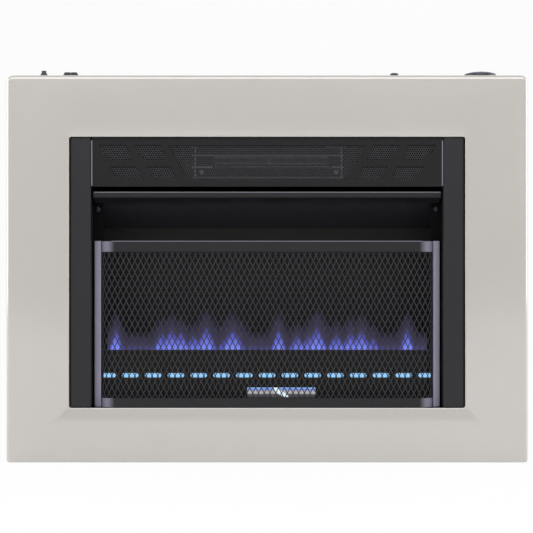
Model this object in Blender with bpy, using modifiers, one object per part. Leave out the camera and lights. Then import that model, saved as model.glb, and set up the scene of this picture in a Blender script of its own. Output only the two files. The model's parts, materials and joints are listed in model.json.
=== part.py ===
"""A ventless blue-flame gas wall heater, as separate pieces. Metres, +Z up, the front faces -Y."""

import math

import bmesh
import bpy
from mathutils import Matrix, Vector

MM = 0.001

# Clearance between neighbouring pieces
FIT = 0.3 * MM

# Outer case
CASE_WIDTH = 680 * MM
CASE_HEIGHT = 505 * MM
CASE_DEPTH = 215 * MM
CASE_SHEET = 1.2 * MM
CASE_CORNER = 9 * MM
BASE_CORNER = 4 * MM

# Front panel and its opening
PANEL_FLANGE = 25 * MM
PANEL_ROLL = 5.5 * MM
SIDE_FRAME = 82 * MM
TOP_FRAME = 80.7 * MM
BOTTOM_FRAME = 71.4 * MM
OPENING_CORNER = 3 * MM
OPENING_LIP = 8 * MM
OPENING_ROLL = 1.5 * MM

# Back panel, base and wall bracket
BRACKET_SHEET = 1.5 * MM
BRACKET_WIDTH = 420 * MM
BRACKET_HEIGHT = 46 * MM
BRACKET_Z = 400 * MM
HOOK_SPREAD = 300 * MM
HOOK_WIDTH = 36 * MM
HOOK_RISE = 9 * MM
HOOK_SLOT_HEIGHT = 16 * MM
PANEL_EDGE = 14 * MM
WALL_SCREW_HOLE = 3 * MM
WALL_SCREW_INSET = 34 * MM
AIR_SLOT_LENGTH = 60 * MM
AIR_SLOT_WIDTH = 6 * MM
AIR_SLOT_COLUMNS = 6
AIR_SLOT_ROWS = 3
AIR_SLOT_PITCH = 76 * MM
AIR_SLOT_ROW_PITCH = 18 * MM
AIR_SLOT_SPACING = 8.4 * MM

# Black surround and inner walls
LINER_SHEET = 1.0 * MM
STRIP_WIDTH = 28 * MM
STRIP_RECESS = 3 * MM
STRIP_DEPTH = 22 * MM
WALL_FLANGE = 14 * MM
WALL_FOOT = 16 * MM
FLANGE_NOTCH = 0.1 * MM
FIREBOX_DEPTH = 127.5 * MM
FLOOR_BELOW_OPENING = 11.4 * MM
LINER_BEND = 1.5 * MM
FLOOR_SLOTS_AHEAD = 20 * MM

# Hood over the heat outlet
HOOD_GRILLE_GAP = 6.4 * MM
HOOD_LIP = 7.8 * MM
HOOD_LIP_RECESS = 8 * MM
HOOD_RETURN = 14 * MM
HOOD_FALL = 36.6 * MM
HOOD_END_GAP = 2.3 * MM
FLANGE_SCREW_INSET = 6.6 * MM
FLANGE_SCREW_DROP = 14.8 * MM

# Upper grille with its cut-outs
GRILLE_DROP = 3.6 * MM
GRILLE_HEIGHT = 60.9 * MM
GRILLE_RETURN = 14 * MM
UPPER_ROW_DROP = 6.8 * MM
UPPER_ROW_HEIGHT = 19.7 * MM
LOWER_ROW_RISE = 7.8 * MM
LOWER_ROW_HEIGHT = 18.3 * MM
CENTRE_DROP = 7.4 * MM
CENTRE_HEIGHT = 46 * MM
CENTRE_INSET = 100.4 * MM
CENTRE_LEAN = 21.6 * MM
CENTRE_CURVE = 8.5 * MM
CENTRE_CURVE_REACH = 11.7 * MM

# Each cut-out's distance from the grille's end, its width, and how far its two sides lean inwards
UPPER_OUTER_WINDOW = (10.2 * MM, 35.2 * MM, 18.8 * MM, 8.2 * MM)
UPPER_INNER_WINDOW = (56.0 * MM, 35.4 * MM, 17.5 * MM, 8.0 * MM)
LOWER_OUTER_WINDOW = (24.6 * MM, 35.8 * MM, 16.4 * MM, 8.6 * MM)
LOWER_INNER_WINDOW = (72.3 * MM, 32.2 * MM, 14.6 * MM, 9.9 * MM)
WINDOW_PULL = (0.12, 0.32)
SCREEN_SHEET = 0.8 * MM
SCREEN_COLUMNS = 18
SCREEN_ROWS = 2
SCREEN_STRAND = 5 * MM

# Guard in front of the flames
GUARD_HOOD_GAP = 56.7 * MM
GUARD_END_GAP = 2.4 * MM
GUARD_RECESS = 2.5 * MM
GUARD_BEND = 13 * MM
GUARD_SHEET = 1.0 * MM
STILE_WIDTH = 9.2 * MM
STILE_SLOPE = 5 * MM
STILE_AHEAD = 1.5 * MM
RAIL_HEIGHT = 14.2 * MM
BOTTOM_RAIL_HEIGHT = 12.2 * MM
RAIL_LIP = 6 * MM
NET_SHEET = 1.2 * MM
NET_COLUMNS = 18
NET_ROWS = 4
NET_STRAND = 2.4 * MM
NET_COVER = 3 * MM

# Burner and its shield
SHIELD_SETBACK = 37.5 * MM
SHIELD_HEIGHT = 83.3 * MM
SHIELD_RETURN = 8 * MM
SLOT_COUNT = 15
SLOT_MARGIN = 2.15 * MM
SLOT_LENGTH = 22.7 * MM
SLOT_HEIGHT = 6.5 * MM
SLOT_RISE = 49.6 * MM
PILOT_WINDOW_LEFT = -26.4 * MM
PILOT_WINDOW_RIGHT = 64.2 * MM
PILOT_WINDOW_RISE = 20.3 * MM
PILOT_WINDOW_HEIGHT = 13.3 * MM
BURNER_SETBACK = 63.5 * MM
BURNER_RISE = 60.7 * MM
BURNER_RADIUS = 16 * MM
BURNER_WALL = 1.2 * MM
BURNER_LEFT_GAP = 17.4 * MM
BURNER_RIGHT_GAP = 29.4 * MM
PORT_COUNT = 15
PORT_SPACING = 4.5 * MM
PORT_WIDTH = 3 * MM
PORT_MARGIN = 8 * MM
SADDLE_LEFT_INSET = 32 * MM
SADDLE_RIGHT_INSET = 50 * MM
SADDLE_SHEET = 1.5 * MM
SADDLE_WIDTH = 12 * MM
SADDLE_SIDE = 5 * MM
VENTURI_THROAT = 8 * MM
VENTURI_LENGTH = 36 * MM
VENTURI_WALL = 1.2 * MM
INJECTOR_RADIUS = 6 * MM
INJECTOR_BORE = 2.5 * MM
INJECTOR_GAP = 8 * MM
INJECTOR_COLLAR = 5 * MM
INJECTOR_TAIL = 8 * MM
TIP_SHARE = 0.55
INJECTOR_HEX = 9 * MM

# Pilot with its flame sensor and spark electrode
PILOT_X = 22 * MM
PILOT_SETBACK = 55.5 * MM
PILOT_FOOT = 24 * MM
PILOT_REACH = 12 * MM
PILOT_STEM = 3 * MM
PILOT_SLOT = 40 * MM
PILOT_SLOT_DEPTH = 14 * MM
PILOT_TABLE_RISE = 14.7 * MM
PILOT_SHEET = 1.5 * MM
PILOT_PITCH = 13 * MM
PILOT_HEAD = 4.5 * MM
PILOT_HEAD_RISE = 16 * MM
PROBE_RADIUS = 2.2 * MM
PROBE_RISE = 21 * MM
ELECTRODE_RADIUS = 3.2 * MM
ELECTRODE_TIP = 1.2 * MM
STEM_BELOW = 10 * MM
SHOULDER_SHARE = 0.6

# Controls on the top
CONTROL_SETBACK = 60 * MM
KNOB_INSET = 54.1 * MM
KNOB_RADIUS = 21.6 * MM
KNOB_ABOVE = 11 * MM
KNOB_HEIGHT = 18 * MM
KNOB_TRAVEL = 5 * MM
KNOB_HUB = 8 * MM
KNOB_EDGE_IN = 6.4 * MM
KNOB_EDGE_DOWN = 5.6 * MM
KNOB_WALL = 3 * MM
WELL_CLEARANCE = 3 * MM
WELL_WALL = 1.5 * MM
WELL_FLANGE = 4 * MM
WELL_FLANGE_SHEET = 1.2 * MM
STEM_RADIUS = 4 * MM
STEM_RUNNING = 0.3 * MM
VALVE_WIDTH = 48 * MM
VALVE_DEPTH = 48 * MM
VALVE_HEIGHT = 60 * MM
VALVE_GAP = 4 * MM
VALVE_BORE = 10 * MM
VALVE_BORE_DEPTH = 34 * MM
VALVE_MOUTH = 5 * MM
VALVE_PORT = 8 * MM
VALVE_PORT_LENGTH = 8 * MM
SMALL_PORT = 4 * MM
VALVE_INLET = (14 * MM, 18 * MM)
VALVE_PILOT_PORT = (-16 * MM, 46 * MM)
VALVE_FLAME_PORT = (0 * MM, 46 * MM)
VALVE_BRACKET_DROP = 40 * MM
SHELF_INSET = 5 * MM
VALVE_SHEET = 1.5 * MM
PLUNGER_HEIGHT = 6 * MM
SPRING_WIRE = 0.7 * MM
SPRING_TURNS = 4
IGNITER_SPACING = 115.2 * MM
IGNITER_BARREL = 9 * MM
IGNITER_LENGTH = 58 * MM
IGNITER_WALL = 1.5 * MM
IGNITER_FLANGE = 13 * MM
IGNITER_COLLAR = 3 * MM
IGNITER_CHAMBER = 32 * MM
BUTTON_SKIRT = 6 * MM
BUTTON_RADIUS = 5.6 * MM
BUTTON_ABOVE = 9.8 * MM
SWITCH_INSET = 77 * MM
SWITCH_WIDTH = 23 * MM
SWITCH_DEPTH = 15 * MM
SWITCH_BODY = 22 * MM
SWITCH_RIM = 3.6 * MM
SWITCH_WALL = 1.5 * MM
SWITCH_FLANGE = 1.5 * MM
SWITCH_LEDGE = 2 * MM
SWITCH_ROOM = 12 * MM
ROCKER_WIDTH = 19.4 * MM
ROCKER_TAPER = 2.7 * MM
ROCKER_DIP = 0.8 * MM
ROCKER_GROOVE = 1.2 * MM
ROCKER_CHAMFER = 1.8 * MM
ROCKER_KEEL = 9 * MM
ROCKER_PIVOT = 1.5 * MM
ROCKER_PIN = 1.2 * MM
ROCKER_ABOVE = 10.5 * MM
LAMP_INSET = 40.5 * MM
LAMP_RADIUS = 4.8 * MM
LAMP_ABOVE = 13 * MM
LAMP_BODY = 18 * MM
LAMP_FLANGE = 6.5 * MM

# Cross-flow blower behind the grille
BLOWER_WIDTH = 208 * MM
BLOWER_X = 2 * MM
BLOWER_WINDOW_SHIFT = 4 * MM
BLOWER_WINDOW = 150 * MM
BLOWER_WINDOW_BELOW = 6.7 * MM
BLOWER_WINDOW_ABOVE = 8 * MM
BLOWER_MARGIN = 10 * MM
HOUSING_REACH_Y = 24 * MM
HOUSING_REACH_Z = 21.2 * MM
BLOWER_SETBACK = 33.5 * MM
BLOWER_DROP = 28.7 * MM
ROTOR_RADIUS = 17 * MM
ROTOR_BLADES = 12
BLADE_DEPTH = 6 * MM
BLADE_SHEET = 1.0 * MM
BLADE_PITCH = math.radians(25)
ROTOR_DISC = 2 * MM
ROTOR_END_GAP = 3 * MM
SCROLL_SHEET = 1.2 * MM
ROTOR_SHAFT = 3 * MM
BEARING_RADIUS = 7 * MM
BEARING_FLANGE = 2.5 * MM
MOTOR_RADIUS = 22 * MM
MOTOR_LENGTH = 48 * MM
MOTOR_BOSS = 4 * MM
MOTOR_BORE = 20 * MM
STRAP_HEIGHT = 6 * MM
STRAP_BELOW = 8 * MM
STRAP_END = 12 * MM

# Gas inlet and pipework
REGULATOR_INSET = 55 * MM
REGULATOR_FROM_BACK = 45.5 * MM
REGULATOR_Z = 70 * MM
REGULATOR_RADIUS = 26 * MM
REGULATOR_HEIGHT = 24 * MM
REGULATOR_CAP = 16 * MM
REGULATOR_CAP_HEIGHT = 8 * MM
OUTLET_RADIUS = 6 * MM
INLET_COLLAR = 3 * MM
INLET_RADIUS = 9 * MM
INLET_BORE = 6 * MM
INLET_BOTTOM = 0.6 * MM
PIPE_RADIUS = 4 * MM
PIPE_BEND = 20 * MM
SUPPLY_BEND = 16 * MM
INLET_CROSSING = 130 * MM
PIPE_STEP = 60 * MM
PIPE_RUN = 13 * MM
PILOT_PIPE_RADIUS = 2 * MM
LEAD_BEND = 8 * MM
LEAD_PITCH = 10 * MM
LEAD_DROP = 14 * MM
LEAD_BEHIND = 40 * MM
UNDERFLOOR_Z = 36 * MM
LEAD_RADIUS = 1.6 * MM
GROMMET_INSET = 55 * MM
GROMMET_Z = 60 * MM
GROMMET_HOLE = 6 * MM
GROMMET_RADIUS = 11 * MM
GROMMET_WALL = 2.5 * MM
GROMMET_LIP = 1.2 * MM

# Screws
SCREW_HEAD = 3 * MM
SCREW_SHANK = 1.9 * MM
SCREW_LENGTH = 7 * MM
BLOWER_SCREW_BELOW = 13.1 * MM
BLOWER_SCREW_INSET = 15.9 * MM

# Places worked out from the sizes above
FRONT_Y = -CASE_DEPTH / 2
BACK_Y = CASE_DEPTH / 2
HALF_WIDTH = CASE_WIDTH / 2
OPENING_HALF = HALF_WIDTH - SIDE_FRAME
OPENING_LOW = BOTTOM_FRAME
OPENING_HIGH = CASE_HEIGHT - TOP_FRAME
GRILLE_HIGH = OPENING_HIGH - GRILLE_DROP
GRILLE_LOW = GRILLE_HIGH - GRILLE_HEIGHT
HOOD_LIP_HIGH = GRILLE_LOW - HOOD_GRILLE_GAP
HOOD_LIP_LOW = HOOD_LIP_HIGH - HOOD_LIP
HOOD_BACK_Z = HOOD_LIP_LOW - HOOD_FALL
FIREBOX_BACK_Y = FRONT_Y + FIREBOX_DEPTH
FIREBOX_FLOOR_Z = OPENING_LOW - FLOOR_BELOW_OPENING
FLOOR_SEAT = FIREBOX_FLOOR_Z + LINER_SHEET + FIT
CASE_FRONT_Y = FRONT_Y + PANEL_FLANGE + FIT
STRIP_FACE_Y = FRONT_Y + STRIP_RECESS
STRIP_GAP = OPENING_CORNER * (1 - math.sqrt(0.5)) + FIT
STRIP_OUTER = OPENING_HALF - STRIP_GAP
STRIP_INNER = OPENING_HALF - STRIP_WIDTH - FIT
WALL_FRONT_Y = STRIP_FACE_Y + STRIP_DEPTH + FIT
WALL_X = STRIP_INNER + LINER_SHEET / 2
BACK_PANEL_Y = BACK_Y - BRACKET_SHEET - FIT
BACK_PANEL_LOW = PANEL_EDGE + FIT
INSIDE_BACK_Y = BACK_PANEL_Y - CASE_SHEET
INSIDE_HALF = HALF_WIDTH - CASE_SHEET - FIT
CASE_TOP_INSIDE = CASE_HEIGHT - CASE_SHEET
CONTROL_Y = FRONT_Y + CONTROL_SETBACK
BETWEEN_WALLS = WALL_X - LINER_SHEET / 2 - FIT
FLANGE_INNER = BETWEEN_WALLS + FIT - WALL_FLANGE
HOOD_FRONT_Y = FRONT_Y + HOOD_LIP_RECESS
HOOD_HALF = BETWEEN_WALLS - HOOD_END_GAP
HOOD_SLOPE = (HOOD_LIP_LOW - HOOD_BACK_Z) / (FIREBOX_BACK_Y - HOOD_FRONT_Y)
HOOD_UNDER_Z = (HOOD_LIP_LOW - HOOD_SLOPE * (WALL_FRONT_Y + LINER_SHEET + 2 * LINER_BEND - HOOD_FRONT_Y)
                - LINER_SHEET)
FLANGE_SCREW_X = BETWEEN_WALLS - FLANGE_SCREW_INSET
FLANGE_SCREW_Z = HOOD_LIP_LOW - FLANGE_SCREW_DROP
FLOOR_SLOT_PITCH = 2 * BETWEEN_WALLS / AIR_SLOT_COLUMNS - AIR_SLOT_SPACING
FLOOR_FRONT_Y = WALL_FRONT_Y
GUARD_LOW = OPENING_LOW + FIT
GUARD_HIGH = HOOD_LIP_LOW - GUARD_HOOD_GAP
GUARD_FACE_Y = FRONT_Y + GUARD_RECESS
GUARD_HALF = BETWEEN_WALLS - GUARD_END_GAP
RAIL_END = GUARD_HALF - STILE_WIDTH - FIT
RAIL_STRAIGHT = RAIL_END - GUARD_BEND
SHIELD_Y = FRONT_Y + SHIELD_SETBACK
SHIELD_TOP = FLOOR_SEAT + SHIELD_HEIGHT
SLOT_PITCH = 2 * (BETWEEN_WALLS - SLOT_MARGIN) / SLOT_COUNT
SLOT_Z = FLOOR_SEAT + SLOT_RISE
PILOT_WINDOW_LOW = FLOOR_SEAT + PILOT_WINDOW_RISE
PILOT_WINDOW_HIGH = PILOT_WINDOW_LOW + PILOT_WINDOW_HEIGHT
BURNER_Y = FRONT_Y + BURNER_SETBACK
BURNER_Z = FLOOR_SEAT + BURNER_RISE
BURNER_LEFT = BURNER_LEFT_GAP - BETWEEN_WALLS
BURNER_RIGHT = BETWEEN_WALLS - BURNER_RIGHT_GAP
SADDLE_LEFT_X = BURNER_LEFT + SADDLE_LEFT_INSET
SADDLE_RIGHT_X = BURNER_RIGHT - SADDLE_RIGHT_INSET
PILOT_Y = FRONT_Y + PILOT_SETBACK
PILOT_TABLE_Z = FLOOR_SEAT + PILOT_TABLE_RISE
PILOT_HEAD_TOP = PILOT_TABLE_Z + PILOT_HEAD_RISE
PROBE_TOP = PILOT_TABLE_Z + PROBE_RISE
KNOB_X = HALF_WIDTH - KNOB_INSET
IGNITER_X = KNOB_X - IGNITER_SPACING
SWITCH_X = SWITCH_INSET - HALF_WIDTH
LAMP_X = LAMP_INSET - HALF_WIDTH
BLOWER_Y = FRONT_Y + BLOWER_SETBACK
BLOWER_Z = GRILLE_HIGH - BLOWER_DROP
BLOWER_WINDOW_X = BLOWER_X + BLOWER_WINDOW_SHIFT
BLOWER_WINDOW_LOW = BLOWER_Z - BLOWER_WINDOW_BELOW
BLOWER_WINDOW_HIGH = BLOWER_Z + BLOWER_WINDOW_ABOVE
BLOWER_SCREW_Z = BLOWER_Z - BLOWER_SCREW_BELOW
BLOWER_SCREW_LEFT = BLOWER_X - BLOWER_WIDTH / 2 + BLOWER_SCREW_INSET
BLOWER_SCREW_RIGHT = BLOWER_X + BLOWER_WIDTH / 2 - BLOWER_SCREW_INSET
STRAP_Z = BLOWER_Z - STRAP_BELOW
REGULATOR_X = HALF_WIDTH - REGULATOR_INSET
REGULATOR_Y = BACK_Y - REGULATOR_FROM_BACK
LEAD_BACK_Y = FIREBOX_BACK_Y + LEAD_BEHIND
GROMMET_X = GROMMET_INSET - HALF_WIDTH
STEM_PASSAGE = STEM_RADIUS + STEM_RUNNING
KNOB_TOP = CASE_HEIGHT + KNOB_ABOVE
KNOB_BOTTOM = KNOB_TOP - KNOB_HEIGHT
WELL_FLOOR = KNOB_BOTTOM - KNOB_TRAVEL - FIT
WELL_UNDER = WELL_FLOOR - WELL_WALL
WELL_INNER = KNOB_RADIUS + WELL_CLEARANCE
WELL_OUTER = WELL_INNER + WELL_WALL
VALVE_TOP = WELL_UNDER - VALVE_GAP
VALVE_BASE = VALVE_TOP - VALVE_HEIGHT
VALVE_BACK_Y = CONTROL_Y + VALVE_DEPTH / 2
PLUNGER_TOP = VALVE_TOP - VALVE_MOUTH - FIT
PLUNGER_BASE = PLUNGER_TOP - PLUNGER_HEIGHT
VALVE_BORE_FLOOR = VALVE_TOP - VALVE_BORE_DEPTH
VALVE_SIDE_PORT_Y = CONTROL_Y - 6 * MM
VALVE_BACK_PORTS = [(*VALVE_INLET, VALVE_PORT), (*VALVE_PILOT_PORT, SMALL_PORT),
                    (*VALVE_FLAME_PORT, SMALL_PORT)]
TOP_SEAT = CASE_HEIGHT + FIT

AXIS_TURNS = {
    "Z": (0, 0, 0),
    "X": (0, math.pi / 2, 0),
    "-X": (0, -math.pi / 2, 0),
    "Y": (-math.pi / 2, 0, 0),
    "-Y": (math.pi / 2, 0, 0),
}

FINISHES = {
    "cream_enamel": ((0.55, 0.53, 0.48), 0.38, 0.0),
    "black_enamel": ((0.036, 0.036, 0.040), 0.42, 0.0),
    "dark_steel": ((0.018, 0.018, 0.019), 0.50, 0.6),
    "zinc_steel": ((0.55, 0.56, 0.58), 0.35, 1.0),
    "aluminised_steel": ((0.42, 0.42, 0.43), 0.45, 1.0),
    "brass": ((0.72, 0.52, 0.22), 0.30, 1.0),
    "chrome": ((0.80, 0.82, 0.86), 0.12, 1.0),
    "ceramic": ((0.86, 0.85, 0.80), 0.35, 0.0),
    "black_plastic": ((0.025, 0.025, 0.027), 0.40, 0.0),
    "rubber": ((0.02, 0.02, 0.02), 0.80, 0.0),
    "lead_insulation": ((0.60, 0.05, 0.04), 0.45, 0.0),
}


def clear_scene():
    for obj in list(bpy.data.objects):
        bpy.data.objects.remove(obj, do_unlink=True)


def new_collection(name):
    collection = bpy.data.collections.new(name)
    bpy.context.scene.collection.children.link(collection)
    return collection


def finish_material(finish):
    """The material of that name, made the first time it is asked for."""
    if finish in bpy.data.materials:
        return bpy.data.materials[finish]
    colour, roughness, metallic = FINISHES[finish]
    material = bpy.data.materials.new(finish)
    material.use_nodes = True
    shader = material.node_tree.nodes["Principled BSDF"]
    shader.inputs["Base Color"].default_value = (*colour, 1)
    shader.inputs["Roughness"].default_value = roughness
    shader.inputs["Metallic"].default_value = metallic
    material.diffuse_color = (*colour, 1)
    return material


def new_object(name, data, finish, origin=(0, 0, 0)):
    """A piece whose data is already measured from its origin."""
    obj = bpy.data.objects.new(name, data)
    obj.location = origin
    data.materials.append(finish_material(finish))
    bpy.data.collections["ventless_gas_heater"].objects.link(obj)
    return obj


def piece(name, bm, finish, origin=(0, 0, 0), smooth_angle=35):
    """A piece from a bmesh in whole-heater coordinates, with its origin moved to the given point."""
    bmesh.ops.translate(bm, verts=bm.verts, vec=-Vector(origin))
    mesh = bpy.data.meshes.new(name)
    bm.to_mesh(mesh)
    bm.free()
    mesh.shade_smooth()
    mesh.set_sharp_from_angle(angle=math.radians(smooth_angle))
    return new_object(name, mesh, finish, origin)


def add_box(bm, low, high):
    """Adds a box between two corners, and gives back its points."""
    low, high = Vector(low), Vector(high)
    place = Matrix.Translation((low + high) / 2) @ Matrix.Diagonal((*(high - low), 1))
    return bmesh.ops.create_cube(bm, size=1, matrix=place)["verts"]


def add_rod(bm, start, end, radius, sides=24, end_radius=None):
    """Adds a cylinder, or a cone with another end radius, between two points."""
    start, end = Vector(start), Vector(end)
    turn = (end - start).to_track_quat("Z", "Y").to_matrix().to_4x4()
    place = Matrix.Translation((start + end) / 2) @ turn
    last = radius if end_radius is None else end_radius
    bmesh.ops.create_cone(bm, cap_ends=True, segments=sides, radius1=radius, radius2=last,
                          depth=(end - start).length, matrix=place)


def box_form(low, high):
    bm = bmesh.new()
    add_box(bm, low, high)
    return bm


def rod_form(start, end, radius, sides=24, end_radius=None):
    bm = bmesh.new()
    add_rod(bm, start, end, radius, sides, end_radius)
    return bm


def combine(obj, bm, operation):
    """Joins a form to the piece, or cuts it from the piece, with a Boolean modifier."""
    mesh = bpy.data.meshes.new(f"{obj.name}_{operation.lower()}")
    bm.to_mesh(mesh)
    bm.free()
    tool = bpy.data.objects.new(mesh.name, mesh)
    tool.hide_render = True
    tool.display_type = "WIRE"
    bpy.data.collections["cutters"].objects.link(tool)
    modifier = obj.modifiers.new(operation.lower(), "BOOLEAN")
    modifier.operation = operation
    modifier.solver = "EXACT"
    modifier.object = tool


def cut(obj, bm):
    combine(obj, bm, "DIFFERENCE")


def join(obj, bm):
    combine(obj, bm, "UNION")


def cut_boxes(obj, boxes):
    """Cuts boxes that don't meet each other, given as pairs of corners."""
    bm = bmesh.new()
    for low, high in boxes:
        add_box(bm, low, high)
    cut(obj, bm)


def cut_rods(obj, rods, sides=24):
    """Cuts round holes that don't meet each other, given as start, end and radius."""
    bm = bmesh.new()
    for start, end, radius in rods:
        add_rod(bm, start, end, radius, sides)
    cut(obj, bm)


def bevel_edges(bm, chosen, radius, segments):
    edges = [edge for edge in bm.edges if chosen(edge)]
    bmesh.ops.bevel(bm, geom=edges, offset=radius, offset_type="OFFSET", segments=segments,
                    profile=0.5, affect="EDGES")


def runs_along(edge, axis):
    """True where the edge lies along that axis, 0 for X, 1 for Y and 2 for Z."""
    span = edge.verts[0].co - edge.verts[1].co
    return abs(span[axis]) > 0.999 * span.length


def bent_sheet(name, profile, along, start, stop, thickness, finish, bend=0.0, segments=2,
               origin=None):
    """A sheet bent along a profile on its middle plane, whose pairs are the two other axes in order."""
    slot = "XYZ".index(along)

    def at(pair, across):
        values = list(pair)
        values.insert(slot, across)
        return Vector(values)

    bm = bmesh.new()
    row = [bm.verts.new(at(pair, start)) for pair in profile]
    edges = [bm.edges.new(pair) for pair in zip(row, row[1:])]
    made = bmesh.ops.extrude_edge_only(bm, edges=edges)["geom"]
    verts = [item for item in made if isinstance(item, bmesh.types.BMVert)]
    bmesh.ops.translate(bm, verts=verts, vec=at((0, 0), stop - start))
    if bend:
        bevel_edges(bm, lambda edge: len(edge.link_faces) == 2, bend, segments)
    bmesh.ops.recalc_face_normals(bm, faces=bm.faces)
    obj = piece(name, bm, finish, origin or at(profile[0], (start + stop) / 2))
    solidify = obj.modifiers.new("sheet", "SOLIDIFY")
    solidify.thickness = thickness
    solidify.offset = 0
    solidify.use_even_offset = True
    return obj


def tray(name, low, high, open_side, wall, finish, corners=(0.0, 0.0), origin=(0, 0, 0)):
    """A box with thin walls and one open side: -Y or Z. corners rounds the top and bottom edges along Y."""
    def shell(inset):
        bm = bmesh.new()
        inner_low = Vector(low) + Vector((inset, inset, inset))
        inner_high = Vector(high) - Vector((inset, inset, inset))
        if inset and open_side == "-Y":
            inner_low.y = low[1] - wall
        if inset and open_side == "Z":
            inner_high.z = high[2] + wall
        add_box(bm, inner_low, inner_high)
        middle = (low[2] + high[2]) / 2
        for radius, above in zip(corners, (True, False)):
            if radius:
                bevel_edges(bm, lambda edge: runs_along(edge, 1)
                            and (edge.verts[0].co.z > middle) == above, radius - inset, 4)
        return bm

    obj = piece(name, shell(0), finish, origin)
    cut(obj, shell(wall))
    return obj


def turned(name, profile, finish, origin, axis="Z", steps=32):
    """A turned piece, from radius and height pairs measured from the origin along the axis."""
    bm = bmesh.new()
    row = [bm.verts.new((radius, 0, height)) for radius, height in profile]
    for pair in zip(row, row[1:]):
        bm.edges.new(pair)
    if min(radius for radius, height in profile) > 0:
        bm.edges.new((row[-1], row[0]))
    mesh = bpy.data.meshes.new(name)
    bm.to_mesh(mesh)
    bm.free()
    obj = new_object(name, mesh, finish, origin)
    obj.rotation_euler = AXIS_TURNS[axis]
    screw = obj.modifiers.new("turn", "SCREW")
    screw.axis = "Z"
    screw.steps = steps
    screw.render_steps = steps
    screw.use_merge_vertices = True
    screw.merge_threshold = 1e-5
    return obj


def rounded_route(points, radius, steps=4):
    """The points with an arc at each corner, as a pipe is bent."""
    points = [Vector(point) for point in points]
    route = [points[0]]
    for before, corner, after in zip(points, points[1:], points[2:]):
        into = (corner - before).normalized()
        out = (after - corner).normalized()
        turn = into.angle(out)
        if turn < 0.01:
            continue
        reach = min(radius * math.tan(turn / 2), (corner - before).length * 0.49,
                    (after - corner).length * 0.49)
        start, end = corner - into * reach, corner + out * reach
        for step in range(steps + 1):
            share = step / steps
            route.append((1 - share) ** 2 * start + 2 * share * (1 - share) * corner + share ** 2 * end)
    return route + [points[-1]]


def wire(name, points, radius, finish, origin=(0, 0, 0), sides=2):
    """A tube, lead or coil with filled ends along the points."""
    curve = bpy.data.curves.new(name, "CURVE")
    curve.dimensions = "3D"
    curve.bevel_depth = radius
    curve.bevel_resolution = sides
    curve.use_fill_caps = True
    spline = curve.splines.new("POLY")
    spline.points.add(len(points) - 1)
    for point, place in zip(spline.points, points):
        point.co = (*(Vector(place) - Vector(origin)), 1)
    return new_object(name, curve, finish, origin)


def coil_points(x, y, low, high, radius, wire_radius, turns, per_turn=8):
    """A helix whose tube just fits between the two heights, with its ends wound close."""
    count = turns * per_turn
    bottom, top = low + wire_radius, high - wire_radius
    points = []
    for step in range(count + 1):
        share = step / count
        angle = 2 * math.pi * turns * share
        points.append((x + radius * math.cos(angle), y + radius * math.sin(angle),
                       bottom + (top - bottom) * share))
    return points


def net_loops(half_width, low, high, columns, rows, strand):
    """The outline of a flat net, then each of its diamond gaps, in staggered rows."""
    pitch_x = (2 * half_width - strand) / columns
    pitch_z = (high - low - strand) / rows
    reach_x, reach_z = (pitch_x - strand) / 2, (pitch_z - strand) / 2
    loops = [[(-half_width, low), (half_width, low), (half_width, high), (-half_width, high)]]
    for row in range(2 * rows - 1):
        staggered = row % 2
        for column in range(columns - staggered):
            x = -half_width + strand / 2 + (column + 0.5 + 0.5 * staggered) * pitch_x
            z = low + strand / 2 + (row + 1) * pitch_z / 2
            loops.append([(x - reach_x, z), (x, z + reach_z), (x + reach_x, z), (x, z - reach_z)])
    return loops


def plate_form(loops, front_y, thickness):
    """A flat plate facing -Y with its outline first and then its holes, as a bmesh."""
    curve = bpy.data.curves.new("plate_outline", "CURVE")
    curve.dimensions = "2D"
    curve.fill_mode = "BOTH"
    curve.extrude = thickness / 2
    for loop in loops:
        spline = curve.splines.new("POLY")
        spline.points.add(len(loop) - 1)
        for point, (x, z) in zip(spline.points, loop):
            point.co = (x, z, 0, 1)
        spline.use_cyclic_u = True
    guide = bpy.data.objects.new("plate_outline", curve)
    bpy.data.collections["cutters"].objects.link(guide)
    mesh = bpy.data.meshes.new_from_object(guide.evaluated_get(bpy.context.evaluated_depsgraph_get()))
    bm = bmesh.new()
    bm.from_mesh(mesh)
    bpy.data.objects.remove(guide, do_unlink=True)
    bmesh.ops.remove_doubles(bm, verts=bm.verts, dist=1e-6)
    turn = Matrix.Translation((0, front_y + thickness / 2, 0)) @ Matrix.Rotation(math.pi / 2, 4, "X")
    bmesh.ops.transform(bm, matrix=turn, verts=bm.verts)
    bmesh.ops.recalc_face_normals(bm, faces=bm.faces)
    return bm


def rounded_ring(bm, half, low, high, top_radius, low_radius, y, steps=4):
    """Adds the points of a rectangle with rounded corners, anticlockwise as seen from the front."""
    ring = []
    corners = ((1, low, low_radius), (1, high, top_radius), (-1, high, top_radius), (-1, low, low_radius))
    for number, (side, level, radius) in enumerate(corners):
        x = side * (half - radius)
        z = level - radius if level == high else level + radius
        for step in range(steps + 1):
            angle = math.pi / 2 * (number - 1 + step / steps)
            ring.append(bm.verts.new((x + radius * math.cos(angle), y, z + radius * math.sin(angle))))
    return ring


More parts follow.
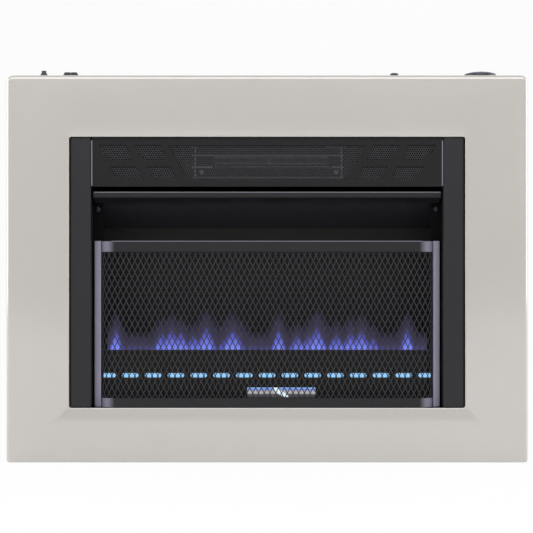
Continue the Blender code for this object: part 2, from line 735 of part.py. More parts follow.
def front_panel():
    """A pressed pan with rolled edges, and a lip turned back round its opening."""
    bm = bmesh.new()
    sharpest = 1.5 * CASE_SHEET

    def outer_ring(inset, depth):
        return rounded_ring(bm, HALF_WIDTH - inset, inset, CASE_HEIGHT - inset,
                            max(CASE_CORNER - inset, sharpest), max(BASE_CORNER - inset, sharpest),
                            FRONT_Y + depth)

    def opening_ring(outset, depth):
        radius = OPENING_CORNER + outset
        return rounded_ring(bm, OPENING_HALF + outset, OPENING_LOW - outset, OPENING_HIGH + outset,
                            radius, radius, FRONT_Y + depth)

    rings = [outer_ring(0, PANEL_FLANGE)]
    for step in range(5):
        angle = step / 4 * math.pi / 2
        rings.append(outer_ring(PANEL_ROLL * (1 - math.cos(angle)), PANEL_ROLL * (1 - math.sin(angle))))
    for step in range(3):
        angle = step / 2 * math.pi / 2
        rings.append(opening_ring(OPENING_ROLL * (1 - math.sin(angle)),
                                  OPENING_ROLL * (1 - math.cos(angle))))
    rings.append(opening_ring(0, OPENING_LIP))
    for ring, following in zip(rings, rings[1:]):
        for number in range(len(ring)):
            bm.faces.new((ring[number - 1], ring[number], following[number], following[number - 1]))
    obj = piece("front_panel", bm, "cream_enamel", (0, FRONT_Y, 0))
    solidify = obj.modifiers.new("sheet", "SOLIDIFY")
    solidify.thickness = CASE_SHEET
    solidify.offset = -1
    solidify.use_even_offset = True


def casing():
    """The top and both sides in one wrapped sheet, with the holes for the controls."""
    middle = HALF_WIDTH - CASE_SHEET / 2
    top = CASE_HEIGHT - CASE_SHEET / 2
    obj = bent_sheet("casing", [(-middle, 0), (-middle, top), (middle, top), (middle, 0)], "Y",
                     CASE_FRONT_Y, BACK_Y, CASE_SHEET, "cream_enamel", CASE_CORNER - CASE_SHEET / 2, 5,
                     (0, CASE_FRONT_Y, CASE_HEIGHT))
    below, above = CASE_HEIGHT - 2 * CASE_SHEET, CASE_HEIGHT + CASE_SHEET
    cut_rods(obj, [((x, CONTROL_Y, below), (x, CONTROL_Y, above), radius + FIT) for x, radius in
                   ((KNOB_X, WELL_OUTER), (IGNITER_X, IGNITER_BARREL), (LAMP_X, LAMP_RADIUS))], 32)
    reach_x, reach_y = SWITCH_WIDTH / 2 + FIT, SWITCH_DEPTH / 2 + FIT
    cut_boxes(obj, [((SWITCH_X - reach_x, CONTROL_Y - reach_y, below),
                     (SWITCH_X + reach_x, CONTROL_Y + reach_y, above))])


def back_panel():
    """The back, set in from the case's rear edge, with slots that hang on the wall bracket's hooks."""
    low = (-INSIDE_HALF, BACK_PANEL_Y - PANEL_EDGE, BACK_PANEL_LOW)
    high = (INSIDE_HALF, BACK_PANEL_Y, CASE_TOP_INSIDE - FIT)
    obj = tray("back_panel", low, high, "-Y", CASE_SHEET, "aluminised_steel",
               (CASE_CORNER - CASE_SHEET - FIT, 0), (0, BACK_PANEL_Y, CASE_HEIGHT / 2))
    top = BRACKET_Z + BRACKET_SHEET / 2 + FIT
    slots = []
    for x in (-HOOK_SPREAD / 2, HOOK_SPREAD / 2):
        reach = HOOK_WIDTH / 2 + 4 * FIT
        slots.append(((x - reach, INSIDE_BACK_Y - MM, top - HOOK_SLOT_HEIGHT),
                      (x + reach, BACK_PANEL_Y + MM, top)))
    cut_boxes(obj, slots)
    cut_rods(obj, [((GROMMET_X, INSIDE_BACK_Y - MM, GROMMET_Z), (GROMMET_X, BACK_PANEL_Y + MM, GROMMET_Z),
                    GROMMET_HOLE + GROMMET_WALL + FIT)])


def base_panel():
    """The bottom tray, with rows of air slots and the hole for the gas inlet."""
    obj = tray("base_panel", (-INSIDE_HALF, CASE_FRONT_Y, 0), (INSIDE_HALF, BACK_Y, PANEL_EDGE), "Z",
               CASE_SHEET, "aluminised_steel")
    slots = []
    for column in range(AIR_SLOT_COLUMNS):
        for row in range(AIR_SLOT_ROWS):
            x = (column - (AIR_SLOT_COLUMNS - 1) / 2) * AIR_SLOT_PITCH
            y = (row - (AIR_SLOT_ROWS - 1) / 2) * AIR_SLOT_ROW_PITCH
            slots.append(((x - AIR_SLOT_LENGTH / 2, y - AIR_SLOT_WIDTH / 2, -CASE_SHEET),
                          (x + AIR_SLOT_LENGTH / 2, y + AIR_SLOT_WIDTH / 2, 2 * CASE_SHEET)))
    cut_boxes(obj, slots)
    cut_rods(obj, [((REGULATOR_X, REGULATOR_Y, -CASE_SHEET), (REGULATOR_X, REGULATOR_Y, 2 * CASE_SHEET),
                    INLET_RADIUS + FIT)])


def wall_bracket():
    """The strip screwed to the wall, with two hooks that the back panel hangs on."""
    front = BACK_Y - BRACKET_SHEET
    obj = piece("wall_bracket", box_form((-BRACKET_WIDTH / 2, front, BRACKET_Z - BRACKET_HEIGHT / 2),
                                         (BRACKET_WIDTH / 2, BACK_Y, BRACKET_Z + BRACKET_HEIGHT / 2)),
                "zinc_steel", (0, BACK_Y, BRACKET_Z))
    legs, rises = bmesh.new(), bmesh.new()
    inner = INSIDE_BACK_Y - FIT
    for x in (-HOOK_SPREAD / 2, HOOK_SPREAD / 2):
        half = HOOK_WIDTH / 2
        low_z = BRACKET_Z - BRACKET_SHEET / 2
        add_box(legs, (x - half, inner - BRACKET_SHEET, low_z), (x + half, BACK_Y - BRACKET_SHEET / 2,
                                                                 low_z + BRACKET_SHEET))
        add_box(rises, (x - half, inner - BRACKET_SHEET, low_z + BRACKET_SHEET / 2),
                (x + half, inner, low_z + BRACKET_SHEET + HOOK_RISE))
    join(obj, legs)
    join(obj, rises)
    hole_z = BRACKET_Z - BRACKET_HEIGHT / 4
    outermost = BRACKET_WIDTH / 2 - WALL_SCREW_INSET
    cut_rods(obj, [((x, front - MM, hole_z), (x, BACK_Y + MM, hole_z), WALL_SCREW_HOLE)
                   for x in (-outermost, 0, outermost)], 16)


def trim_strip(name, side):
    """The dark band beside the firebox, bent back at both edges."""
    half = LINER_SHEET / 2
    back, face = STRIP_FACE_Y + STRIP_DEPTH, STRIP_FACE_Y + half
    inner, outer = side * (STRIP_INNER + half), side * (STRIP_OUTER - half)
    bent_sheet(name, [(inner, back), (inner, face), (outer, face), (outer, back)], "Z",
               OPENING_LOW + STRIP_GAP, OPENING_HIGH - STRIP_GAP, LINER_SHEET, "black_enamel", LINER_BEND)


def firebox_wall(name, side, rods):
    """A side wall with a front flange for the guard, a rear flange, and a foot on the base."""
    x = side * WALL_X
    flange = side * FLANGE_INNER
    front = WALL_FRONT_Y + LINER_SHEET / 2
    back = INSIDE_BACK_Y - FIT - LINER_SHEET / 2
    low, high = CASE_SHEET + FIT, OPENING_HIGH
    obj = bent_sheet(name, [(flange, front), (x, front), (x, back), (x + side * WALL_FOOT, back)], "Z",
                     low, high, LINER_SHEET, "dark_steel", LINER_BEND, 2, (x, front, low))
    ahead, behind = WALL_FRONT_Y - MM, WALL_FRONT_Y + LINER_SHEET + 2 * LINER_BEND
    edge = sorted((side * (FLANGE_INNER - MM), x - side * (LINER_SHEET / 2 + FLANGE_NOTCH)))
    cut_boxes(obj, [((edge[0], ahead, HOOD_UNDER_Z), (edge[1], behind, high + MM)),
                    ((edge[0], ahead, low - MM), (edge[1], behind, FLOOR_SEAT))])
    cut_boxes(obj, [((-HALF_WIDTH, ahead, low - MM),
                     (HALF_WIDTH, CASE_FRONT_Y + CASE_SHEET + FIT, PANEL_EDGE + FIT)),
                    ((-HALF_WIDTH, BACK_PANEL_Y - PANEL_EDGE - FIT, low - MM),
                     (HALF_WIDTH, BACK_Y, BACK_PANEL_LOW + CASE_SHEET + FIT))])
    foot = sorted((x, x + side * WALL_FOOT))
    join(obj, box_form((foot[0], front + WALL_FOOT, low),
                       (foot[1], back - WALL_FOOT, low + LINER_SHEET)))
    cut_rods(obj, rods, 12)


def firebox_walls():
    reach = WALL_X - 5 * LINER_SHEET, WALL_X + 5 * LINER_SHEET
    screw_y = WALL_FRONT_Y - MM, WALL_FRONT_Y + 3 * LINER_SHEET

    def across(side, y, z, radius):
        return (side * reach[0], y, z), (side * reach[1], y, z), radius

    def flange_hole(side):
        x = side * FLANGE_SCREW_X
        return (x, screw_y[0], FLANGE_SCREW_Z), (x, screw_y[1], FLANGE_SCREW_Z), SCREW_SHANK + FIT

    firebox_wall("firebox_left_wall", -1, [flange_hole(-1)])
    firebox_wall("firebox_right_wall", 1, [
        flange_hole(1), across(1, BURNER_Y, BURNER_Z, INJECTOR_RADIUS + FIT),
        across(1, PILOT_Y, UNDERFLOOR_Z, PILOT_PIPE_RADIUS + FIT),
        across(1, PILOT_Y - LEAD_PITCH, UNDERFLOOR_Z, LEAD_RADIUS + FIT)])


def firebox_back():
    """The rear wall of the firebox, with a shelf bent forward below and a flange bent back on top."""
    y = FIREBOX_BACK_Y + LINER_SHEET / 2
    bottom = FLOOR_SEAT
    bent_sheet("firebox_back", [(y, bottom), (y, HOOD_UNDER_Z), (y + WALL_FOOT, HOOD_UNDER_Z)], "X",
               -BETWEEN_WALLS, BETWEEN_WALLS, LINER_SHEET, "dark_steel", LINER_BEND)


def firebox_floor():
    """The plate that carries the burner and the pilot, bent down in front and behind, with air slots."""
    z = FIREBOX_FLOOR_Z + LINER_SHEET / 2
    front, back = FLOOR_FRONT_Y + LINER_SHEET / 2, FIREBOX_BACK_Y + LINER_SHEET / 2
    down = z - PANEL_EDGE
    obj = bent_sheet("firebox_floor", [(front, down), (front, z), (back, z), (back, down)], "X",
                     -BETWEEN_WALLS, BETWEEN_WALLS, LINER_SHEET, "dark_steel", LINER_BEND)
    below, above = z - LINER_SHEET, z + LINER_SHEET
    middle = FIREBOX_BACK_Y - FLOOR_SLOTS_AHEAD
    slots = [((PILOT_X - PILOT_SLOT / 2, PILOT_Y - PILOT_SLOT_DEPTH / 2, below),
              (PILOT_X + PILOT_SLOT / 2, PILOT_Y + PILOT_SLOT_DEPTH / 2, above))]
    for column in range(AIR_SLOT_COLUMNS):
        x = (column - (AIR_SLOT_COLUMNS - 1) / 2) * FLOOR_SLOT_PITCH
        reach = (FLOOR_SLOT_PITCH - AIR_SLOT_SPACING) / 2
        slots.append(((x - reach, middle - AIR_SLOT_WIDTH / 2, below),
                      (x + reach, middle + AIR_SLOT_WIDTH / 2, above)))
    cut_boxes(obj, slots)


def hood():
    """The deflector that slopes up from the rear wall to a front lip, and turns back on top."""
    half = LINER_SHEET / 2
    front, back = HOOD_FRONT_Y + half, FIREBOX_BACK_Y - FIT - half
    top = HOOD_LIP_HIGH - half
    bent_sheet("hood", [(back, HOOD_BACK_Z), (front, HOOD_LIP_LOW + half), (front, top),
                        (front + HOOD_RETURN, top)], "X", -HOOD_HALF, HOOD_HALF, LINER_SHEET,
               "black_enamel", LINER_BEND, 3)


def window_outline(bottom, top, window):
    """A cut-out on the left with a slanted inner side and a curved lower outer corner."""
    inset, width, outer_lean, inner_lean = window
    top_left = inset - BETWEEN_WALLS
    low_left = top_left + outer_lean
    loop = [(top_left, top), (top_left + width, top), (top_left + width + inner_lean, bottom),
            (low_left, bottom)]
    pull_x = top_left + WINDOW_PULL[0] * outer_lean
    pull_z = bottom + WINDOW_PULL[1] * (top - bottom)
    for step in range(1, 6):
        share = step / 6
        near, middle, far = (1 - share) ** 2, 2 * share * (1 - share), share ** 2
        loop.append((near * low_left + middle * pull_x + far * top_left,
                     near * bottom + middle * pull_z + far * top))
    return loop


def grille_windows():
    """The four cut-outs on the left, their mirror images, and the wide one in the middle."""
    upper = (GRILLE_HIGH - UPPER_ROW_DROP - UPPER_ROW_HEIGHT, GRILLE_HIGH - UPPER_ROW_DROP)
    lower = (GRILLE_LOW + LOWER_ROW_RISE, GRILLE_LOW + LOWER_ROW_RISE + LOWER_ROW_HEIGHT)
    left = [window_outline(*upper, UPPER_OUTER_WINDOW), window_outline(*upper, UPPER_INNER_WINDOW),
            window_outline(*lower, LOWER_OUTER_WINDOW), window_outline(*lower, LOWER_INNER_WINDOW)]
    right = [[(-x, z) for x, z in reversed(loop)] for loop in left]
    high = GRILLE_HIGH - CENTRE_DROP
    low = high - CENTRE_HEIGHT
    wide = BETWEEN_WALLS - CENTRE_INSET
    narrow = wide - CENTRE_LEAN
    half = [(wide, high), (narrow, low + CENTRE_CURVE)]
    for step in range(1, 5):
        angle = step / 4 * math.pi / 2
        half.append((narrow - CENTRE_CURVE_REACH * (1 - math.cos(angle)),
                     low + CENTRE_CURVE * (1 - math.sin(angle))))
    return left + right + [half + [(-x, z) for x, z in reversed(half)]]


def upper_grille():
    """The louvre panel over the blower, bent back all round."""
    obj = tray_facing_back("upper_grille", GRILLE_LOW, GRILLE_HIGH)
    cut(obj, windows_form())


def windows_form():
    """The cut-outs as bars that reach through the panel."""
    bm = bmesh.new()
    for loop in grille_windows():
        face = bm.faces.new([bm.verts.new((x, STRIP_FACE_Y - MM, z)) for x, z in loop])
        made = bmesh.ops.extrude_face_region(bm, geom=[face])["geom"]
        verts = [item for item in made if isinstance(item, bmesh.types.BMVert)]
        bmesh.ops.translate(bm, verts=verts, vec=(0, 2 * MM + LINER_SHEET, 0))
    bmesh.ops.recalc_face_normals(bm, faces=bm.faces)
    return bm


def tray_facing_back(name, low, high):
    """A thin tray whose open side is at the back."""
    front, back = STRIP_FACE_Y, STRIP_FACE_Y + GRILLE_RETURN
    obj = piece(name, box_form((-BETWEEN_WALLS, front, low), (BETWEEN_WALLS, back, high)), "black_enamel",
                (0, front, (low + high) / 2))
    inset = LINER_SHEET
    cut_boxes(obj, [((-BETWEEN_WALLS + inset, front + inset, low + inset),
                     (BETWEEN_WALLS - inset, back + MM, high - inset))])
    return obj


def grille_screen():
    """The perforated sheet behind the louvre panel."""
    edge = LINER_SHEET + FIT
    loops = net_loops(BETWEEN_WALLS - edge, GRILLE_LOW + edge, GRILLE_HIGH - edge, SCREEN_COLUMNS,
                      SCREEN_ROWS, SCREEN_STRAND)
    piece("grille_screen", plate_form(loops, STRIP_FACE_Y + edge, SCREEN_SHEET), "dark_steel",
          (0, STRIP_FACE_Y + edge, (GRILLE_LOW + GRILLE_HIGH) / 2))


def guard_plan(offset, steps=5):
    """The guard seen from above, that far inside its front face: straight, with both ends curved back."""
    radius = GUARD_BEND - offset
    centre_y = GUARD_FACE_Y + GUARD_BEND
    right = []
    for step in range(steps + 1):
        angle = step / steps * math.pi / 2
        right.append((RAIL_STRAIGHT + radius * math.sin(angle), centre_y - radius * math.cos(angle)))
    return [(-x, y) for x, y in reversed(right)] + right


def guard_rail(name, low, high, lip_low):
    """A rail that follows the guard's curved ends, with a lip turned back between the curves."""
    half = GUARD_SHEET / 2
    obj = bent_sheet(name, guard_plan(half), "Z", low, high, GUARD_SHEET, "black_enamel",
                     origin=(0, GUARD_FACE_Y, (low + high) / 2))
    join(obj, box_form((-RAIL_STRAIGHT, GUARD_FACE_Y + half / 2, lip_low),
                       (RAIL_STRAIGHT, GUARD_FACE_Y + RAIL_LIP, lip_low + GUARD_SHEET)))


def guard_rails():
    guard_rail("guard_top_rail", GUARD_HIGH - RAIL_HEIGHT, GUARD_HIGH - GUARD_SHEET / 2,
               GUARD_HIGH - GUARD_SHEET)
    guard_rail("guard_bottom_rail", GUARD_LOW + GUARD_SHEET / 2, GUARD_LOW + BOTTOM_RAIL_HEIGHT, GUARD_LOW)


def guard_stile(name, side):
    """An end post of the guard, with a slanted face, that rests on the firebox wall's flange."""
    half = GUARD_SHEET / 2
    inner, outer = side * (RAIL_END + FIT + half), side * (GUARD_HALF - half)
    back = WALL_FRONT_Y - FIT
    front = GUARD_FACE_Y + GUARD_BEND - STILE_AHEAD
    bent_sheet(name, [(inner, back), (inner, front), (outer, front + STILE_SLOPE), (outer, back)], "Z",
               GUARD_LOW, GUARD_HIGH, GUARD_SHEET, "black_enamel", GUARD_SHEET, 2)


def guard_mesh():
    """The expanded-metal net, with coarser diamonds than the real one, curved back at both ends."""
    offset = GUARD_SHEET + FIT + NET_SHEET / 2
    radius = GUARD_BEND - offset
    centre_y = GUARD_FACE_Y + GUARD_BEND
    half = RAIL_STRAIGHT + radius * math.pi / 2
    loops = net_loops(half, GUARD_LOW + NET_COVER, GUARD_HIGH - NET_COVER, NET_COLUMNS, NET_ROWS,
                      NET_STRAND)
    bm = plate_form(loops, -NET_SHEET / 2, NET_SHEET)
    bend_steps = 5
    for side in (-1, 1):
        for step in range(bend_steps):
            x = side * (RAIL_STRAIGHT + step / bend_steps * (half - RAIL_STRAIGHT))
            bmesh.ops.bisect_plane(bm, geom=bm.verts[:] + bm.edges[:] + bm.faces[:], plane_co=(x, 0, 0),
                                   plane_no=(1, 0, 0), dist=1e-6)
    for vert in bm.verts:
        across, depth = vert.co.x, vert.co.y
        angle = max(abs(across) - RAIL_STRAIGHT, 0) / radius
        if angle:
            vert.co.x = math.copysign(RAIL_STRAIGHT + (radius - depth) * math.sin(angle), across)
        vert.co.y = centre_y - (radius - depth) * math.cos(angle)
    piece("guard_mesh", bm, "dark_steel", (0, GUARD_FACE_Y, GUARD_LOW))


def burner_shield():
    """The plate in front of the burner, with a row of round-ended slots and the pilot's window."""
    half = LINER_SHEET / 2
    y, bottom, top = SHIELD_Y + half, FLOOR_SEAT, SHIELD_TOP - half
    obj = bent_sheet("burner_shield", [(y, bottom), (y, top), (y + SHIELD_RETURN, top)], "X",
                     -BETWEEN_WALLS, BETWEEN_WALLS, LINER_SHEET, "dark_steel")
    bm = bmesh.new()
    ahead, behind = SHIELD_Y - LINER_SHEET, SHIELD_Y + 2 * LINER_SHEET
    for number in range(SLOT_COUNT):
        x = (number - (SLOT_COUNT - 1) / 2) * SLOT_PITCH
        add_box(bm, (x - SLOT_LENGTH / 2, ahead, SLOT_Z - SLOT_HEIGHT / 2),
                (x + SLOT_LENGTH / 2, behind, SLOT_Z + SLOT_HEIGHT / 2))
    bevel_edges(bm, lambda edge: runs_along(edge, 1), SLOT_HEIGHT / 2 - FIT, 2)
    cut(obj, bm)
    cut_boxes(obj, [((PILOT_WINDOW_LEFT, ahead, PILOT_WINDOW_LOW),
                     (PILOT_WINDOW_RIGHT, behind, PILOT_WINDOW_HIGH))])


def burner():
    """The burner tube with its ports, the two saddles that carry it, and the venturi in its open end."""
    form = rod_form((BURNER_LEFT, BURNER_Y, BURNER_Z), (BURNER_RIGHT, BURNER_Y, BURNER_Z), BURNER_RADIUS, 20)
    tube = piece("burner_tube", form, "aluminised_steel", (0, BURNER_Y, BURNER_Z))
    cut_rods(tube, [((BURNER_LEFT + BURNER_WALL, BURNER_Y, BURNER_Z),
                     (BURNER_RIGHT + MM, BURNER_Y, BURNER_Z), BURNER_RADIUS - BURNER_WALL)], 20)
    first, last = BURNER_LEFT + PORT_MARGIN, BURNER_RIGHT - VENTURI_LENGTH
    pitch = (last - first) / PORT_COUNT
    ports = []
    for number in range(PORT_COUNT):
        x = first + (number + 0.5) * pitch
        reach = (pitch - PORT_SPACING) / 2
        ports.append(((x - reach, BURNER_Y - PORT_WIDTH / 2, BURNER_Z + BURNER_RADIUS / 2),
                      (x + reach, BURNER_Y + PORT_WIDTH / 2, BURNER_Z + 2 * BURNER_RADIUS)))
    cut_boxes(tube, ports)

    bottom = FLOOR_SEAT
    reach = BURNER_RADIUS + SADDLE_SIDE
    for name, x in (("burner_left_bracket", SADDLE_LEFT_X), ("burner_right_bracket", SADDLE_RIGHT_X)):
        half = SADDLE_SHEET / 2
        front, rear = BURNER_Y - reach, BURNER_Y + reach
        saddle = piece(name, box_form((x - half, front, bottom), (x + half, rear, BURNER_Z)),
                       "zinc_steel", (x, BURNER_Y, bottom))
        join(saddle, box_form((x, front, bottom), (x + SADDLE_WIDTH, rear, bottom + SADDLE_SHEET)))
        cut_rods(saddle, [((x - 2 * SADDLE_SHEET, BURNER_Y, BURNER_Z),
                           (x + 2 * SADDLE_SHEET, BURNER_Y, BURNER_Z), BURNER_RADIUS + FIT)], 20)

    mouth = BURNER_RADIUS - BURNER_WALL - FIT
    throat, wall, length = VENTURI_THROAT, VENTURI_WALL, VENTURI_LENGTH
    profile = [(mouth, length), (throat + wall, length / 2), (throat + wall, 0), (throat, 0),
               (throat, length / 2), (mouth - wall, length)]
    turned("burner_venturi", profile, "aluminised_steel", (BURNER_RIGHT - FIT - length, BURNER_Y, BURNER_Z),
           "X", 18)


def gas_injector():
    """The brass orifice through the right wall, with a collar that seats on the wall's outer side."""
    tip = BURNER_RIGHT + INJECTOR_GAP
    seat = WALL_X + LINER_SHEET / 2 + FIT - tip
    collar = seat + INJECTOR_COLLAR
    length = collar + INJECTOR_TAIL
    radius = INJECTOR_RADIUS
    profile = [(radius, length), (radius, collar), (INJECTOR_HEX, collar), (INJECTOR_HEX, seat),
               (radius, seat), (radius, radius / 2), (radius * TIP_SHARE, 0), (INJECTOR_BORE / 2, 0),
               (INJECTOR_BORE / 2, radius / 2), (INJECTOR_BORE, radius), (INJECTOR_BORE, length)]
    turned("gas_injector", profile, "brass", (tip, BURNER_Y, BURNER_Z), "X", 16)


def pilot():
    """The pilot's bracket on the firebox floor, with its burner, flame sensor and spark electrode."""
    half = PILOT_SHEET / 2
    low = FLOOR_SEAT + half
    table = PILOT_TABLE_Z - half
    riser = PILOT_Y + PILOT_REACH
    profile = [(riser + PILOT_REACH, low), (riser, low), (riser, table), (PILOT_Y - PILOT_REACH, table)]
    bracket = bent_sheet("pilot_bracket", profile, "X", PILOT_X - PILOT_FOOT, PILOT_X + PILOT_FOOT,
                         PILOT_SHEET, "zinc_steel", PILOT_SHEET)
    seat = PILOT_TABLE_Z + FIT
    bottom = PILOT_TABLE_Z - STEM_BELOW
    probe, electrode = PROBE_RADIUS, ELECTRODE_RADIUS
    parts = {
        "pilot_burner": (0, PILOT_STEM, PILOT_HEAD, PILOT_HEAD_TOP, PILOT_HEAD * TIP_SHARE, "brass"),
        "thermocouple": (PILOT_PITCH, probe, probe, PROBE_TOP, probe / 2, "aluminised_steel"),
        "spark_electrode": (-PILOT_PITCH, electrode, electrode, PROBE_TOP, ELECTRODE_TIP, "ceramic"),
    }
    holes = []
    for name, (shift, stem, head, top, tip, finish) in parts.items():
        x = PILOT_X + shift
        shoulder = seat + SHOULDER_SHARE * (top - seat)
        collar, collar_top = max(stem, head) + PILOT_SHEET, seat + 2 * PILOT_SHEET
        turned(name, [(0, top), (tip, top), (tip, shoulder + head), (head, shoulder), (head, collar_top),
                      (collar, collar_top), (collar, seat), (stem, seat), (stem, bottom), (0, bottom)],
               finish, (x, PILOT_Y, 0), "Z", 12)
        holes.append(((x, PILOT_Y, table - PILOT_SHEET), (x, PILOT_Y, table + PILOT_SHEET), stem + FIT))
    cut_rods(bracket, holes, 12)


def gas_valve():
    """The valve body with its bored chamber and ports, on a shelf bracket fixed to the firebox wall."""
    half_x, half_y = VALVE_WIDTH / 2, VALVE_DEPTH / 2
    body = piece("gas_valve_body", box_form((KNOB_X - half_x, CONTROL_Y - half_y, VALVE_BASE),
                                            (KNOB_X + half_x, CONTROL_Y + half_y, VALVE_TOP)),
                 "aluminised_steel", (KNOB_X, CONTROL_Y, VALVE_BASE))
    ports = bmesh.new()
    for shift, height, radius in VALVE_BACK_PORTS:
        add_rod(ports, (KNOB_X + shift, CONTROL_Y, VALVE_BASE + height),
                (KNOB_X + shift, VALVE_BACK_Y + VALVE_PORT_LENGTH, VALVE_BASE + height), radius, 16)
    outlet_z = VALVE_BASE + VALVE_PORT + MM
    add_rod(ports, (KNOB_X + half_x / 2, VALVE_SIDE_PORT_Y, outlet_z),
            (KNOB_X + half_x + VALVE_PORT_LENGTH, VALVE_SIDE_PORT_Y, outlet_z), VALVE_PORT, 16)
    join(body, ports)
    cut_rods(body, [((KNOB_X, CONTROL_Y, VALVE_BORE_FLOOR), (KNOB_X, CONTROL_Y, VALVE_TOP - VALVE_MOUTH),
                     VALVE_BORE)], 32)
    cut_rods(body, [((KNOB_X, CONTROL_Y, VALVE_TOP - VALVE_MOUTH - MM), (KNOB_X, CONTROL_Y, VALVE_TOP + MM),
                     STEM_PASSAGE)], 24)
    half = VALVE_SHEET / 2
    wall = WALL_X + LINER_SHEET / 2 + FIT + half
    shelf = VALVE_BASE - FIT - half
    reach = half_y - SHELF_INSET
    profile = [(wall, shelf - VALVE_BRACKET_DROP), (wall, shelf), (KNOB_X + half_x, shelf)]
    bent_sheet("valve_bracket", profile, "Y", CONTROL_Y - reach, CONTROL_Y + reach, VALVE_SHEET,
               "zinc_steel", VALVE_SHEET)


def knob_set():
    """The plunger and spring in the valve, the stem through them, the knob, and the well it sits in."""
    rim = VALVE_BORE - FIT
    profile = [(rim, PLUNGER_HEIGHT), (rim, 0), (STEM_PASSAGE, 0), (STEM_PASSAGE, PLUNGER_HEIGHT)]
    turned("valve_plunger", profile, "brass", (KNOB_X, CONTROL_Y, PLUNGER_BASE), "Z", 20)
    coil = coil_points(KNOB_X, CONTROL_Y, VALVE_BORE_FLOOR + FIT, PLUNGER_BASE - FIT,
                       (VALVE_BORE + STEM_RADIUS) / 2, SPRING_WIRE, SPRING_TURNS)
    wire("valve_spring", coil, SPRING_WIRE, "zinc_steel", (KNOB_X, CONTROL_Y, VALVE_BORE_FLOOR), 1)
    bore_top = KNOB_TOP - KNOB_WALL - MM
    turned("valve_stem", [(0, bore_top - FIT), (STEM_RADIUS, bore_top - FIT), (STEM_RADIUS, PLUNGER_BASE),
                          (0, PLUNGER_BASE)], "zinc_steel", (KNOB_X, CONTROL_Y, 0), "Z", 24)
    angles = [step / 3 * math.pi / 2 for step in range(4)]
    dome = [(KNOB_RADIUS - KNOB_EDGE_IN * (1 - math.sin(angle)),
             KNOB_TOP - KNOB_EDGE_DOWN * (1 - math.cos(angle))) for angle in angles]
    skirt = KNOB_RADIUS - KNOB_WALL
    profile = [(0, KNOB_TOP)] + dome + [
        (KNOB_RADIUS, KNOB_BOTTOM), (skirt, KNOB_BOTTOM), (skirt, dome[-1][1]),
        (KNOB_HUB, KNOB_TOP - KNOB_WALL - 2 * MM), (KNOB_HUB, KNOB_BOTTOM), (STEM_PASSAGE, KNOB_BOTTOM),
        (STEM_PASSAGE, bore_top), (0, bore_top)]
    turned("control_knob", profile, "chrome", (KNOB_X, CONTROL_Y, 0), "Z", 28)
    rim, rim_radius = TOP_SEAT + WELL_FLANGE_SHEET, WELL_OUTER + WELL_FLANGE
    profile = [(rim_radius, rim), (rim_radius, TOP_SEAT), (WELL_OUTER, TOP_SEAT), (WELL_OUTER, WELL_UNDER),
               (STEM_PASSAGE, WELL_UNDER), (STEM_PASSAGE, WELL_FLOOR), (WELL_INNER, WELL_FLOOR),
               (WELL_INNER, rim)]
    turned("knob_well", profile, "black_plastic", (KNOB_X, CONTROL_Y, 0), "Z", 28)


def igniter():
    """The piezo igniter's barrel through the top, with its sprung push button."""
    seat, floor = TOP_SEAT, CASE_HEIGHT - IGNITER_CHAMBER
    top = seat + IGNITER_COLLAR
    bore, mouth = IGNITER_BARREL - IGNITER_WALL, BUTTON_RADIUS + FIT
    low = CASE_HEIGHT - IGNITER_LENGTH
    lip = CASE_HEIGHT
    profile = [(0, floor), (bore, floor), (bore, lip), (mouth, lip), (mouth, top),
               (IGNITER_FLANGE - MM, top), (IGNITER_FLANGE, top - MM), (IGNITER_FLANGE, seat),
               (IGNITER_BARREL, seat), (IGNITER_BARREL, low), (0, low)]
    turned("igniter_body", profile, "black_plastic", (IGNITER_X, CONTROL_Y, 0), "Z", 20)
    head, skirt = CASE_HEIGHT + BUTTON_ABOVE, lip - FIT
    foot = skirt - BUTTON_SKIRT
    profile = [(0, head), (BUTTON_RADIUS - 1.4 * MM, head), (BUTTON_RADIUS - 0.4 * MM, head - 0.5 * MM),
               (BUTTON_RADIUS, head - 1.6 * MM), (BUTTON_RADIUS, skirt), (bore - FIT, skirt),
               (bore - FIT, foot), (0, foot)]
    turned("igniter_button", profile, "black_plastic", (IGNITER_X, CONTROL_Y, 0), "Z", 20)
    coil = coil_points(IGNITER_X, CONTROL_Y, floor + FIT, foot - FIT, bore - 3 * SPRING_WIRE, SPRING_WIRE,
                       SPRING_TURNS)
    wire("igniter_spring", coil, SPRING_WIRE, "zinc_steel", (IGNITER_X, CONTROL_Y, floor), 1)


